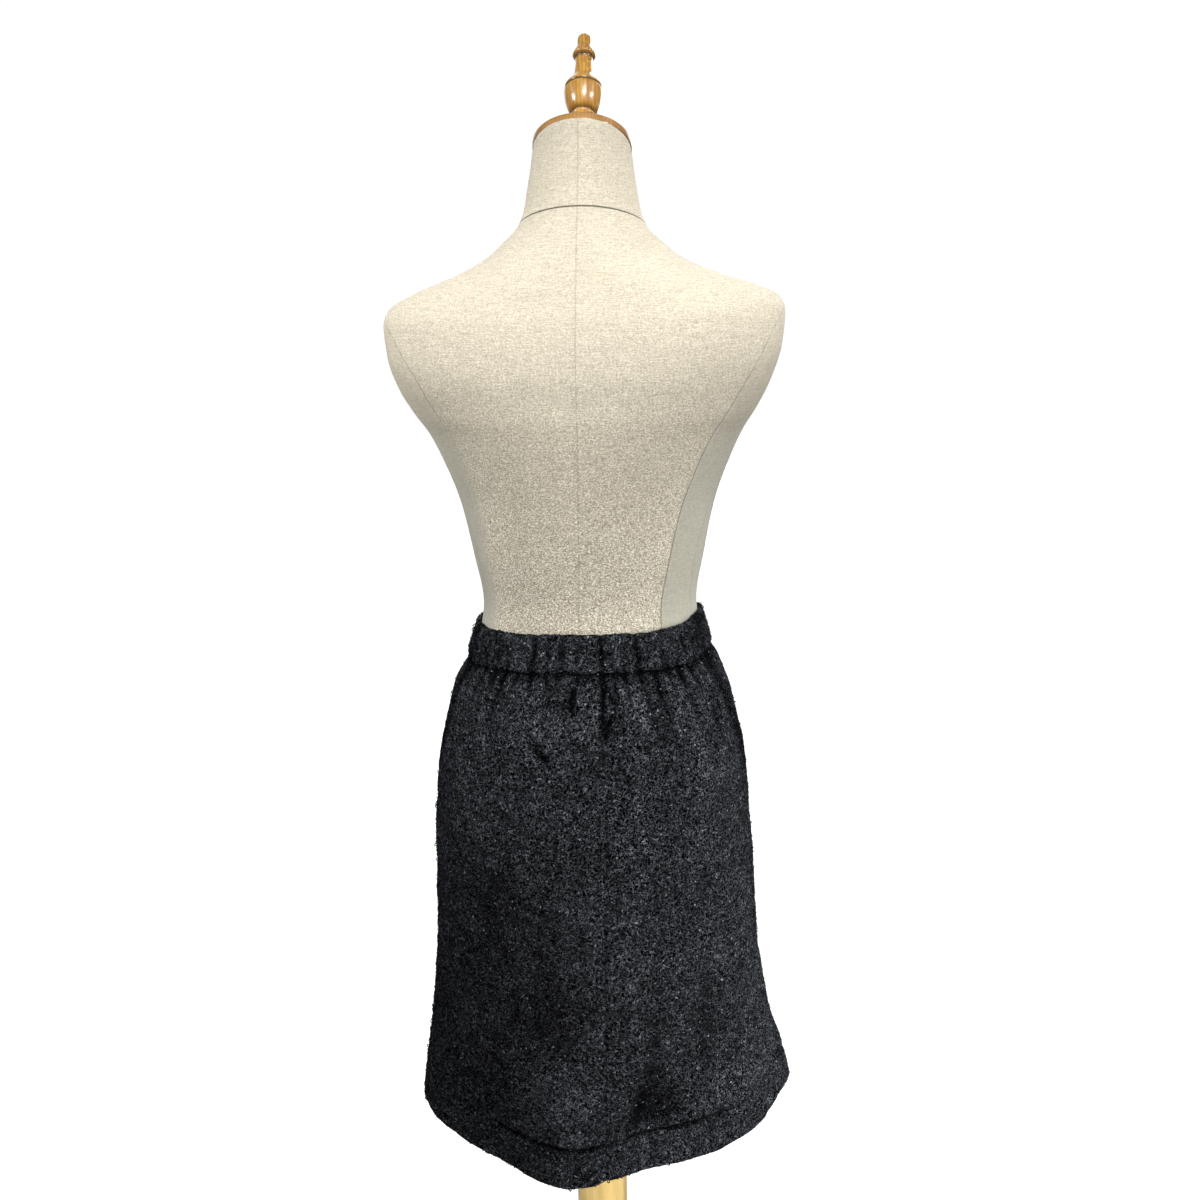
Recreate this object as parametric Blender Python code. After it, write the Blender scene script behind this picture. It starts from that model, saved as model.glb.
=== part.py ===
"""A black boucle pencil skirt with a gathered back waist, on a limbless dress form with a wooden stand.

Metres, +Z up. The form faces -Y and its pole stands on the Z axis, with the underside of the base at z = 0. The
skirt sits a little turned on the form. A place round the body is a turn, in degrees in the tables: 0 is the centre
back, 90 the wearer's right side (-X), 180 the centre front and -90 the wearer's left side (+X).
"""

from collections import namedtuple
from functools import lru_cache
from math import cos, degrees, exp, pi, radians, sin, tan

import bmesh
import bpy
from mathutils import Matrix, Vector

# Driving heights
WAIST_Z = 1.050
FORM_BOTTOM_Z = 0.790
SHOULDER_Z = 1.300

# The stand
BASE_THICK = 0.026
BASE_RADIUS = 0.185
BASE_FOOT_EDGE = 0.003
BASE_TOP_EDGE = 0.009
POLE_RADIUS = 0.028

# The skirt's cut
BAND_HEIGHT = 0.034
SKIRT_LENGTH = 0.552
HEM_DEPTH = 0.040
CLOTH = 0.0024
HEM_CLOTH = 0.0046
BAND_FOOT_Z = WAIST_Z - BAND_HEIGHT
HEM_Z = WAIST_Z - SKIRT_LENGTH

# Clearances between pieces that touch in the real thing
SEAM_GAP = 0.0003
SEAT_GAP = 0.0003
REST_GAP = 0.0004
PANEL_CLEAR = 0.0020

# How finely the shapes are divided
FORM_SIDES = 40
BACK_COLUMNS = 34
FRONT_COLUMNS = 38
TURNED_SIDES = 20
POLE_SIDES = 24
ROUND_SIDES = 40
SHARP_FROM = radians(50)

# One ring of the form at height z: half its width, how far its front and its back stand from its middle, how far
# that middle lies behind the pole, how many degrees the ring tips up behind, and how square its corners are.
Ring = namedtuple("Ring", "z half_width front back middle tip corner")
FORM_RINGS = (
    Ring(0.790, 0.1520, 0.098, 0.106, 0.000, 0, 2.1),
    Ring(0.850, 0.1570, 0.100, 0.112, 0.000, 0, 2.1),
    Ring(0.900, 0.1520, 0.098, 0.110, 0.000, 0, 2.1),
    Ring(0.950, 0.1390, 0.094, 0.101, 0.000, 0, 2.1),
    Ring(1.000, 0.1210, 0.087, 0.090, 0.000, 0, 2.1),
    Ring(1.062, 0.1065, 0.081, 0.083, 0.000, 0, 2.1),
    Ring(1.110, 0.1140, 0.089, 0.089, 0.000, 0, 2.1),
    Ring(1.160, 0.1240, 0.104, 0.097, 0.000, 0, 2.1),
    Ring(1.200, 0.1375, 0.114, 0.104, 0.000, 0, 2.2),
    Ring(1.230, 0.1510, 0.114, 0.109, 0.000, 0, 2.3),
    Ring(1.250, 0.1640, 0.109, 0.111, 0.000, 0, 2.4),
    Ring(1.275, 0.1770, 0.099, 0.111, 0.001, 0, 2.5),
    Ring(1.305, 0.1860, 0.087, 0.106, 0.003, 0, 2.6),
    Ring(1.335, 0.1885, 0.076, 0.097, 0.004, 0, 2.6),
    Ring(1.348, 0.1835, 0.071, 0.091, 0.004, 0, 2.5),
    Ring(1.362, 0.1560, 0.067, 0.085, 0.004, 1, 2.3),
    Ring(1.375, 0.1190, 0.063, 0.078, 0.004, 2, 2.2),
    Ring(1.388, 0.0915, 0.060, 0.071, 0.003, 4, 2.1),
    Ring(1.400, 0.0765, 0.058, 0.065, 0.001, 7, 2.0),
    Ring(1.415, 0.0610, 0.055, 0.058, -0.002, 10, 2.0),
    Ring(1.430, 0.0548, 0.052, 0.054, -0.006, 13, 2.0),
    Ring(1.450, 0.0512, 0.049, 0.050, -0.011, 18, 2.0),
    Ring(1.468, 0.0484, 0.047, 0.047, -0.016, 23, 2.0),
    Ring(1.485, 0.0460, 0.045, 0.045, -0.020, 28, 2.0),
)
NECK_TOP = FORM_RINGS[-1]

# The bust, as two soft rounds on the form's front
BUST_Z = 1.215
BUST_X = 0.078
BUST_REACH = 0.020
BUST_WIDTH = 0.048
BUST_HEIGHT = 0.046

# The right shoulder stands a little higher than the left
SHOULDER_LEAN = 1.2
SHOULDER_LEAN_FROM = 1.220
SHOULDER_LEAN_TO = 1.400
SHOULDER_LEAN_RAMP = 0.4

# The wooden neck cap and the turned finial on it, as (radius, height) from foot to tip
CAP_RADIUS = 0.0468
CAP_THICK = 0.010
CAP_EDGE = 0.003
FINIAL = (
    (0.0150, 0.0000),
    (0.0160, 0.0030),
    (0.0150, 0.0062),
    (0.0112, 0.0100),
    (0.0100, 0.0170),
    (0.0102, 0.0235),
    (0.0116, 0.0258),
    (0.0120, 0.0278),
    (0.0112, 0.0298),
    (0.0100, 0.0312),
    (0.0128, 0.0335),
    (0.0148, 0.0370),
    (0.0163, 0.0425),
    (0.0175, 0.0500),
    (0.0182, 0.0555),
    (0.0184, 0.0592),
    (0.0177, 0.0606),
    (0.0183, 0.0618),
    (0.0166, 0.0652),
    (0.0138, 0.0685),
    (0.0112, 0.0712),
    (0.0100, 0.0735),
    (0.0090, 0.0780),
    (0.0085, 0.0860),
    (0.0088, 0.0885),
    (0.0112, 0.0915),
    (0.0114, 0.0945),
    (0.0098, 0.0975),
    (0.0080, 0.1010),
    (0.0070, 0.1050),
    (0.0067, 0.1110),
    (0.0058, 0.1142),
    (0.0036, 0.1155),
)

# One level of the skirt's outer face: how far it stands from the pole's axis to the wearer's left and right, in
# front and behind, how square its corners are, how far it is turned, and the turns of its centre back seam and its
# two side seams.
Level = namedtuple("Level", "z left right front back corner yaw centre_seam left_seam right_seam")
SKIRT_LEVELS = (
    Level(1.016, 0.1225, 0.1215, 0.0920, 0.0950, 2.10, 0.0, 13, -70, 68),
    Level(0.985, 0.1390, 0.1350, 0.0990, 0.1050, 2.10, 0.0, 12, -71, 72),
    Level(0.950, 0.1485, 0.1455, 0.1040, 0.1130, 2.10, 0.5, 10, -73, 76),
    Level(0.910, 0.1570, 0.1540, 0.1090, 0.1190, 2.10, 1.0, 8, -77, 81),
    Level(0.860, 0.1640, 0.1595, 0.1130, 0.1240, 2.05, 1.5, 7, -81, 87),
    Level(0.800, 0.1672, 0.1648, 0.1150, 0.1280, 2.00, 2.0, 7, -84, 92),
    Level(0.700, 0.1708, 0.1705, 0.1210, 0.1330, 1.90, 2.5, 7, -87, 95),
    Level(0.600, 0.1825, 0.1850, 0.1300, 0.1400, 1.75, 3.0, 7, -88, 96),
    Level(0.550, 0.1892, 0.1985, 0.1350, 0.1440, 1.65, 3.5, 7, -88, 97),
    Level(0.498, 0.1955, 0.2090, 0.1400, 0.1470, 1.60, 3.5, 7, -88, 97),
)

# How far under the band's foot each ring of a panel's points lies, down to the hem's stitching
PANEL_RINGS = (0.0000, 0.0120, 0.0300, 0.0550, 0.0900, 0.1400, 0.2000, 0.2700, 0.3400, 0.4100)

# The band's own section, as (share of its height, thickness) from its folded top edge to its foot
BAND_SECTION = ((1.00, 0.0036), (0.82, 0.0056), (0.50, 0.0064), (0.18, 0.0060), (0.00, 0.0040))

# The gathers that the elastic draws into the back: how many, how high they stand on the band and just under it,
# and how far down the cloth they fade out
BACK_GATHERS = 13
BAND_GATHER = 0.0011
CLOTH_GATHER = 0.0020
GATHER_FADE = 0.060
GATHER_END = 0.05

# What makes the gathers uneven, as waves of (cycles across the back, phase, size): how their places wander and how
# their heights vary
WANDER_WAVES = ((1.7, 0.6, 0.90), (4.3, 2.0, 0.60))
HEIGHT_WAVES = ((2.6, 1.3, 0.35), (5.1, 0.0, 0.20))

# Seams lie in a valley: its depth at the centre back and at the sides, and its half width
CENTRE_VALLEY = 0.0010
SIDE_VALLEY = 0.0020
VALLEY_WIDTH = 0.0080
BAND_TUCK = 0.0016
BAND_TUCK_REACH = 0.012
HEM_GROOVE = 0.0014
HEM_GROOVE_WIDTH = 0.0045
HEM_SWELL = 0.0006
HEM_ROUND = 0.0014

# Where the hem hangs lower than its own height: the turn, the half width in degrees, and how much lower
Sag = namedtuple("Sag", "turn half_width depth")
HEM_SAGS = (
    Sag(-14, 20, 0.008),
    Sag(82, 24, -0.018),
)

# One soft fold of the cloth: its turns at its top and its foot, how far under the waist's top edge it starts and
# ends, its half width along the cloth, and its height, which is negative for a trough.
Fold = namedtuple("Fold", "turn_top turn_foot top foot half_width height")
FOLDS = (
    Fold(-6, -6, 0.034, 0.090, 0.0065, -0.0024),
    Fold(13, 8, 0.036, 0.112, 0.0065, -0.0028),
    Fold(22, 21, 0.030, 0.140, 0.0100, 0.0028),
    Fold(30, 30, 0.036, 0.118, 0.0075, -0.0024),
    Fold(43, 51, 0.030, 0.190, 0.0130, 0.0030),
    Fold(-18, -12, 0.098, 0.130, 0.0065, -0.0026),
    Fold(-38, -36, 0.036, 0.108, 0.0080, -0.0022),
    Fold(-58, -61, 0.085, 0.165, 0.0090, -0.0022),
    Fold(-42, -30, 0.230, 0.360, 0.0260, -0.0034),
    Fold(-18, -14, 0.320, 0.440, 0.0220, -0.0034),
    Fold(46, 43, 0.330, 0.460, 0.0180, -0.0034),
    Fold(27, 16, 0.420, 0.720, 0.0240, -0.0065),
    Fold(-12, -11, 0.400, 0.740, 0.0340, 0.0085),
    Fold(56, 54, 0.430, 0.720, 0.0300, 0.0050),
    Fold(112, 116, 0.180, 0.700, 0.0300, -0.0040),
    Fold(150, 146, 0.120, 0.660, 0.0280, 0.0045),
    Fold(178, 182, 0.240, 0.720, 0.0260, -0.0045),
    Fold(212, 208, 0.140, 0.690, 0.0280, 0.0045),
    Fold(244, 246, 0.260, 0.700, 0.0300, -0.0040),
)
FOLD_RISE = 0.25
FOLD_FALL = 0.35


# ---- curves ----


@lru_cache(maxsize=None)
def smooth(rows, column, z):
    """A table's column at height z, on a curve through its rows that never overshoots them."""
    rows = sorted(rows, key=lambda row: row.z)
    heights = [row.z for row in rows]
    values = [getattr(row, column) for row in rows]
    if z <= heights[0]:
        return values[0]
    if z >= heights[-1]:
        return values[-1]
    steps = [upper - lower for lower, upper in zip(heights, heights[1:])]
    slopes = [(upper - lower) / step for lower, upper, step in zip(values, values[1:], steps)]
    i = max(k for k, height in enumerate(heights) if height <= z)

    def tangent(k):
        if k == 0:
            return slopes[0]
        if k == len(slopes):
            return slopes[-1]
        before, after = slopes[k - 1], slopes[k]
        return 0.0 if before * after <= 0 else 2 * before * after / (before + after)

    t = (z - heights[i]) / steps[i]
    return (
        values[i] * (2 * t**3 - 3 * t**2 + 1)
        + values[i + 1] * (3 * t**2 - 2 * t**3)
        + tangent(i) * steps[i] * (t**3 - 2 * t**2 + t)
        + tangent(i + 1) * steps[i] * (t**3 - t**2)
    )


def ease(t):
    """From 0 to 1, flat at both ends."""
    t = min(1.0, max(0.0, t))
    return t * t * (3 - 2 * t)


def squared(value, corner):
    """A sine or cosine drawn out towards a square's corner, where a corner of 2 leaves it round."""
    return abs(value) ** (2 / corner) * (1 if value >= 0 else -1)


def moved_out(plan, turn, z, out):
    """A point of a plan outline at height z, moved level and straight out of it."""
    step = radians(2)
    along = plan(turn + step, z) - plan(turn - step, z)
    place = plan(turn, z) + Vector((along.y, -along.x)).normalized() * out
    return Vector((place.x, place.y, z))


# ---- the dress form and its stand ----


def form_plan(turn, z):
    """The form's outline at height z, seen from above."""
    ring = {name: smooth(FORM_RINGS, name, z) for name in ("half_width", "front", "back", "middle", "corner")}
    x = -ring["half_width"] * squared(sin(turn), ring["corner"])
    depth = ring["back"] if cos(turn) > 0 else ring["front"]
    y = depth * squared(cos(turn), ring["corner"])
    if y < 0:
        bust = exp(-(((abs(x) - BUST_X) / BUST_WIDTH) ** 2) - ((z - BUST_Z) / BUST_HEIGHT) ** 2)
        y -= BUST_REACH * bust * ease(-y / depth)
    return Vector((x, ring["middle"] + y))


def form_room(point):
    """How far a point must move straight out from the form's middle so that PANEL_CLEAR stays under it."""
    z = max(point.z, FORM_BOTTOM_Z)
    ring = {name: smooth(FORM_RINGS, name, z) for name in ("half_width", "front", "back", "middle", "corner")}
    across, behind = abs(point.x), point.y - ring["middle"]
    depth = ring["back"] if behind > 0 else ring["front"]
    corner = ring["corner"]
    share = ((across / ring["half_width"]) ** corner + (abs(behind) / depth) ** corner) ** (1 / corner)
    reach = Vector((across, behind)).length
    return max(0.0, reach / share + PANEL_CLEAR - reach)


def form_heights():
    """Heights of the form's rings: some below the waistband, the band's own, then up to the neck."""
    stretches = ((FORM_BOTTOM_Z, BAND_FOOT_Z, 8), (WAIST_Z, SHOULDER_Z, 9), (SHOULDER_Z, NECK_TOP.z, 16))
    heights = [low + (high - low) * k / count for low, high, count in stretches for k in range(count)]
    heights += [BAND_FOOT_Z + BAND_HEIGHT * share for share, _ in BAND_SECTION if share < 1]
    return sorted(set(heights)) + [NECK_TOP.z]


def shoulder_lean(z):
    """How many degrees the ring at height z tips up towards the right shoulder."""
    share = (z - SHOULDER_LEAN_FROM) / (SHOULDER_LEAN_TO - SHOULDER_LEAN_FROM)
    return SHOULDER_LEAN * ease(share / SHOULDER_LEAN_RAMP) * ease((1 - share) / SHOULDER_LEAN_RAMP)


def form_body():
    """The form from its flat underside to its flat neck top."""
    rings = []
    for z in form_heights():
        middle, tip = smooth(FORM_RINGS, "middle", z), radians(smooth(FORM_RINGS, "tip", z))
        plan = [form_plan(2 * pi * side / FORM_SIDES, z) for side in range(FORM_SIDES)]
        lean = radians(shoulder_lean(z))
        rings.append([Vector((p.x, p.y, z + (p.y - middle) * tan(tip) - p.x * tan(lean))) for p in plan])
    bm = bmesh.new()
    loops = [[bm.verts.new(point) for point in ring] for ring in rings]
    for low, high in zip(loops, loops[1:]):
        for side in range(FORM_SIDES):
            after = (side + 1) % FORM_SIDES
            bm.faces.new((low[side], low[after], high[after], high[side]))
    bm.faces.new(loops[0])
    bm.faces.new(loops[-1])
    return finished("form_body", bm)


def turned(name, profile, sides=TURNED_SIDES):
    """A solid turned about Z from a profile of (radius, height), foot first, closed with flat ends."""
    bm = bmesh.new()
    loops = []
    for radius, height in profile:
        turns = [2 * pi * side / sides for side in range(sides)]
        loops.append([bm.verts.new((radius * cos(turn), radius * sin(turn), height)) for turn in turns])
    for low, high in zip(loops, loops[1:]):
        for side in range(sides):
            after = (side + 1) % sides
            bm.faces.new((low[side], low[after], high[after], high[side]))
    bm.faces.new(loops[0])
    bm.faces.new(loops[-1])
    return finished(name, bm)


def neck_cap():
    """The wooden disc on the neck, with bevelled edges."""
    inner = CAP_RADIUS - CAP_EDGE
    profile = ((inner, 0), (CAP_RADIUS, CAP_EDGE), (CAP_RADIUS, CAP_THICK - CAP_EDGE), (inner, CAP_THICK))
    made = turned("neck_cap", profile, ROUND_SIDES)
    made.location = (0, 0, SEAT_GAP)
    return made


def finial():
    """The turned ornament on the cap."""
    made = turned("finial", FINIAL)
    made.location = (0, 0, SEAT_GAP + CAP_THICK + SEAT_GAP)
    return made


def neck_axis():
    """An empty at the middle of the neck's top, leaning with it, that carries the cap and the finial."""
    made = bpy.data.objects.new("neck_axis", None)
    bpy.context.scene.collection.objects.link(made)
    made.location = (0, NECK_TOP.middle, NECK_TOP.z)
    made.rotation_euler = (radians(NECK_TOP.tip), 0, 0)
    return made


def base():
    """The round foot that the form stands on, with eased edges."""
    profile = (
        (BASE_RADIUS - BASE_FOOT_EDGE, 0),
        (BASE_RADIUS, BASE_FOOT_EDGE),
        (BASE_RADIUS, BASE_THICK - BASE_TOP_EDGE),
        (BASE_RADIUS - BASE_TOP_EDGE, BASE_THICK),
    )
    return turned("base", profile, ROUND_SIDES)


def pole():
    """The round pole from the base up to the form's underside."""
    length = FORM_BOTTOM_Z - SEAT_GAP - BASE_THICK - SEAT_GAP
    made = turned("pole", ((POLE_RADIUS, 0), (POLE_RADIUS, length)), POLE_SIDES)
    made.location = (0, 0, BASE_THICK + SEAT_GAP)
    return made


# ---- the skirt ----


def skirt_plan(turn, z):
    """The skirt's outer face at height z without gathers or folds, seen from above."""
    yaw = radians(smooth(SKIRT_LEVELS, "yaw", z))
    turn -= yaw
    side = "right" if sin(turn) > 0 else "left"
    depth = "back" if cos(turn) > 0 else "front"
    corner = smooth(SKIRT_LEVELS, "corner", z)
    x = -smooth(SKIRT_LEVELS, side, z) * squared(sin(turn), corner)
    place = Vector((x, smooth(SKIRT_LEVELS, depth, z) * squared(cos(turn), corner)))
    place.rotate(Matrix.Rotation(yaw, 2))
    return place


def seam_turn(seam, z):
    """The turn of a seam at height z."""
    return radians(smooth(SKIRT_LEVELS, seam, z))


def back_share(turn, z):
    """How far across the back a turn lies, from 0 at the left side seam to 1 at the right, or more in front."""
    left, right = seam_turn("left_seam", z), seam_turn("right_seam", z)
    return (turn - left) % (2 * pi) / (right - left)


def waves(rows, share):
    """The sum of a table's waves at a share of the way across the back."""
    return sum(size * sin(2 * pi * cycles * share + phase) for cycles, phase, size in rows)


def gather(turn, z):
    """How far the gathers of the back lift the cloth, uneven in width and height."""
    share = back_share(turn, z)
    if share > 1:
        return 0.0
    wander = waves(WANDER_WAVES, share)
    lift = sin(2 * pi * BACK_GATHERS * share + wander) * (1 + waves(HEIGHT_WAVES, share))
    lift *= ease(min(share, 1 - share) / GATHER_END)
    if z > BAND_FOOT_Z:
        return BAND_GATHER * lift
    return CLOTH_GATHER * lift * exp(-(BAND_FOOT_Z - z) / GATHER_FADE)


def folds(turn, z):
    """How far the hand-placed folds lift the cloth."""
    lift = 0.0
    under = WAIST_Z - z
    radius = skirt_plan(turn, z).length
    for fold in FOLDS:
        share = (under - fold.top) / (fold.foot - fold.top)
        if not 0 < share < 1:
            continue
        middle = radians(fold.turn_top + (fold.turn_foot - fold.turn_top) * share)
        away = (turn - middle + pi) % (2 * pi) - pi
        ends = ease(share / FOLD_RISE) * ease((1 - share) / FOLD_FALL)
        lift += fold.height * ends * exp(-((away * radius / fold.half_width) ** 2))
    return lift


def cloth_pair(turn, z, out, thick):
    """A point of the cloth's outer face and the one across from it, moved out by gathers, folds and so much more."""
    out += gather(turn, z) + folds(turn, z)
    out += form_room(moved_out(skirt_plan, turn, z, out - thick))
    return [sagged(moved_out(skirt_plan, turn, z, reach), turn) for reach in (out, out - thick)]


def sagged(point, turn):
    """The point, lowered where the hem hangs low."""
    share = (WAIST_Z - point.z) / SKIRT_LENGTH
    for sag in HEM_SAGS:
        away = (degrees(turn) - sag.turn + 180) % 360 - 180
        point.z -= sag.depth * share**3 * exp(-((away / sag.half_width) ** 2))
    return point


def wall(name, sections):
    """A closed wall. Each section is its (outer, inner) point pairs, from its top to its foot."""
    bm = bmesh.new()
    grid = [[(bm.verts.new(outer), bm.verts.new(inner)) for outer, inner in section] for section in sections]
    for here, there in zip(grid, grid[1:]):
        for row in range(len(here) - 1):
            for face in (0, 1):
                bm.faces.new((here[row][face], here[row + 1][face], there[row + 1][face], there[row][face]))
        for row in (0, -1):
            bm.faces.new((here[row][0], there[row][0], there[row][1], here[row][1]))
    for end in (grid[0], grid[-1]):
        for upper, lower in zip(end, end[1:]):
            bm.faces.new((upper[0], lower[0], lower[1], upper[1]))
    return finished(name, bm)


def columns_between(first_seam, last_seam, count):
    """For each column of a piece between two seams, in growing turns, a function that gives its turn at a height."""

    def column(share):
        def turn(z):
            first, last = seam_turn(first_seam, z), seam_turn(last_seam, z)
            span = (last - first) % (2 * pi)
            inset = SEAM_GAP / 2 / smooth(SKIRT_LEVELS, "front", z)
            return first + inset + (span - 2 * inset) * share

        return turn

    return [column(k / count) for k in range(count + 1)]


def seam_valley(turn, z):
    """How far the nearest seam draws the cloth in."""
    depths = (("centre_seam", CENTRE_VALLEY), ("left_seam", SIDE_VALLEY), ("right_seam", SIDE_VALLEY))
    radius = skirt_plan(turn, z).length
    drawn = 0.0
    for seam, depth in depths:
        away = (turn - seam_turn(seam, z) + pi) % (2 * pi) - pi
        drawn += depth * exp(-((away * radius / VALLEY_WIDTH) ** 2))
    return drawn


def panel_rings():
    """(height, how far the outer face moves out, the wall's thickness) from the band's foot to the hem."""
    rings = []
    for under in PANEL_RINGS:
        tuck = BAND_TUCK * (1 - ease(under / BAND_TUCK_REACH))
        rings.append((BAND_FOOT_Z - SEAM_GAP - under, -tuck, CLOTH))
    stitching = HEM_Z + HEM_DEPTH
    rings.append((stitching + HEM_GROOVE_WIDTH, 0.0, CLOTH))
    rings.append((stitching, -HEM_GROOVE, CLOTH))
    rings.append((stitching - HEM_GROOVE_WIDTH, HEM_SWELL, HEM_CLOTH))
    rings.append((HEM_Z + 2 * HEM_ROUND, HEM_SWELL, HEM_CLOTH))
    rings.append((HEM_Z, HEM_SWELL - HEM_ROUND, HEM_CLOTH - 2 * HEM_ROUND))
    return rings


def panel(name, first_seam, last_seam, count):
    """A panel of the skirt between two seams, from the band's foot to the hem."""
    sections = []
    for column in columns_between(first_seam, last_seam, count):
        section = []
        for z, out, thick in panel_rings():
            turn = column(z)
            out -= seam_valley(turn, z)
            section.append(cloth_pair(turn, z, out, thick))
        sections.append(section)
    return wall(name, sections)


def band(name, first_seam, last_seam, count):
    """The casing at the waist between two side seams, its inner face close round the form."""
    sections = []
    for column in columns_between(first_seam, last_seam, count):
        section = []
        for share, thick in BAND_SECTION:
            z = BAND_FOOT_Z + BAND_HEIGHT * share
            turn = column(z)
            lift = gather(turn, z) - seam_valley(turn, z) / 2
            inner = moved_out(form_plan, turn, z, REST_GAP)
            section.append((moved_out(form_plan, turn, z, REST_GAP + thick + lift), inner))
        sections.append(section)
    return wall(name, sections)


# ---- materials and assembly ----


def finished(name, bm):
    """An object of that name from a bmesh, its faces turned outwards and shaded smooth."""
    bmesh.ops.recalc_face_normals(bm, faces=bm.faces)
    mesh = bpy.data.meshes.new(name)
    bm.to_mesh(mesh)
    bm.free()
    mesh.shade_smooth()
    mesh.set_sharp_from_angle(angle=SHARP_FROM)
    made = bpy.data.objects.new(name, mesh)
    bpy.context.scene.collection.objects.link(made)
    return made


def material(name, colour, roughness):
    """A plain surface of one colour."""
    made = bpy.data.materials.new(name)
    made.use_nodes = True
    shader = made.node_tree.nodes["Principled BSDF"]
    shader.inputs["Base Color"].default_value = (*colour, 1)
    shader.inputs["Roughness"].default_value = roughness
    shader.inputs["Metallic"].default_value = 0.0
    return made


def give(pieces, surface):
    """Puts a material on each piece."""
    for piece in pieces:
        piece.data.materials.append(surface)


def main():
    for old in list(bpy.data.objects):
        bpy.data.objects.remove(old)

    top_pieces = [neck_cap(), finial()]
    carrier = neck_axis()
    for piece in top_pieces:
        piece.parent = carrier
    give(top_pieces, material("varnished_wood", (0.62, 0.36, 0.13), 0.30))
    give([base(), pole()], material("pale_wood", (0.66, 0.47, 0.22), 0.50))
    give([form_body()], material("linen", (0.56, 0.51, 0.42), 0.85))

    skirt = [
        panel("back_panel_left", "left_seam", "centre_seam", BACK_COLUMNS),
        panel("back_panel_right", "centre_seam", "right_seam", BACK_COLUMNS),
        panel("front_panel", "right_seam", "left_seam", FRONT_COLUMNS),
        band("waistband_back", "left_seam", "right_seam", 2 * BACK_COLUMNS),
        band("waistband_front", "right_seam", "left_seam", FRONT_COLUMNS),
    ]
    give(skirt, material("black_boucle", (0.018, 0.018, 0.021), 0.95))


main()
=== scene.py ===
"""A black boucle pencil skirt on a limbless dress form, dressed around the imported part.

Metres, +Z up. A place round the body is a turn: 0 is the centre back, 90 the wearer's right side (-X), 180 the
centre front and -90 the wearer's left side (+X).
"""

from collections import namedtuple

import bpy
import numpy as np
from mathutils import Matrix, Vector


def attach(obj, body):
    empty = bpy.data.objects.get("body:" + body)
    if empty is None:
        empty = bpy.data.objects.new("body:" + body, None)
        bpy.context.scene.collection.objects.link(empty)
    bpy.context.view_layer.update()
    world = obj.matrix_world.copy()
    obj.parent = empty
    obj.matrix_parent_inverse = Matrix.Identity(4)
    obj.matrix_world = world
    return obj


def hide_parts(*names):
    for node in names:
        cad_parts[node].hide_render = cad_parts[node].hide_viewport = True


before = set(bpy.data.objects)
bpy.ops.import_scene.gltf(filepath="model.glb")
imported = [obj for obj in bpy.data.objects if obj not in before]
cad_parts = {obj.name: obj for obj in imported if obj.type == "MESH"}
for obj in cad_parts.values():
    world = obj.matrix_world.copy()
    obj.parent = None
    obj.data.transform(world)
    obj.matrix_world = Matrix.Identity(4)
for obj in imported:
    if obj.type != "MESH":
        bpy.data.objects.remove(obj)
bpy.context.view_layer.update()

MM = 0.001

# ---- sizes and places shared with the part's solids ----

WAIST_Z = 1.050
FORM_BOTTOM_Z = 0.790
BAND_HEIGHT = 0.034
SKIRT_LENGTH = 0.552
HEM_DEPTH = 0.040
CLOTH = 0.0024
HEM_CLOTH = 0.0046
BAND_FOOT_Z = WAIST_Z - BAND_HEIGHT
HEM_Z = WAIST_Z - SKIRT_LENGTH
SEAM_GAP = 0.0003
SEAT_GAP = 0.0003
REST_GAP = 0.0004
PANEL_CLEAR = 0.0012

Ring = namedtuple("Ring", "z half_width front back middle tip corner")
FORM_RINGS = (
    Ring(0.790, 0.1520, 0.098, 0.106, 0.000, 0, 2.1),
    Ring(0.850, 0.1570, 0.100, 0.112, 0.000, 0, 2.1),
    Ring(0.900, 0.1520, 0.098, 0.110, 0.000, 0, 2.1),
    Ring(0.950, 0.1390, 0.094, 0.101, 0.000, 0, 2.1),
    Ring(1.000, 0.1210, 0.087, 0.090, 0.000, 0, 2.1),
    Ring(1.062, 0.1065, 0.081, 0.083, 0.000, 0, 2.1),
    Ring(1.110, 0.1140, 0.089, 0.089, 0.000, 0, 2.1),
    Ring(1.160, 0.1240, 0.104, 0.097, 0.000, 0, 2.1),
    Ring(1.200, 0.1375, 0.114, 0.104, 0.000, 0, 2.2),
    Ring(1.230, 0.1510, 0.114, 0.109, 0.000, 0, 2.3),
    Ring(1.250, 0.1640, 0.109, 0.111, 0.000, 0, 2.4),
    Ring(1.275, 0.1770, 0.099, 0.111, 0.001, 0, 2.5),
    Ring(1.305, 0.1860, 0.087, 0.106, 0.003, 0, 2.6),
    Ring(1.335, 0.1885, 0.076, 0.097, 0.004, 0, 2.6),
    Ring(1.348, 0.1835, 0.071, 0.091, 0.004, 0, 2.5),
    Ring(1.362, 0.1560, 0.067, 0.085, 0.004, 1, 2.3),
    Ring(1.375, 0.1190, 0.063, 0.078, 0.004, 2, 2.2),
    Ring(1.388, 0.0915, 0.060, 0.071, 0.003, 4, 2.1),
    Ring(1.400, 0.0765, 0.058, 0.065, 0.001, 7, 2.0),
    Ring(1.415, 0.0610, 0.055, 0.058, -0.002, 10, 2.0),
    Ring(1.430, 0.0548, 0.052, 0.054, -0.006, 13, 2.0),
    Ring(1.450, 0.0512, 0.049, 0.050, -0.011, 18, 2.0),
    Ring(1.468, 0.0484, 0.047, 0.047, -0.016, 23, 2.0),
    Ring(1.485, 0.0460, 0.045, 0.045, -0.020, 28, 2.0),
)
NECK_TOP = FORM_RINGS[-1]
BUST_Z, BUST_X, BUST_REACH, BUST_WIDTH, BUST_HEIGHT = 1.215, 0.078, 0.020, 0.048, 0.046
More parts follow.
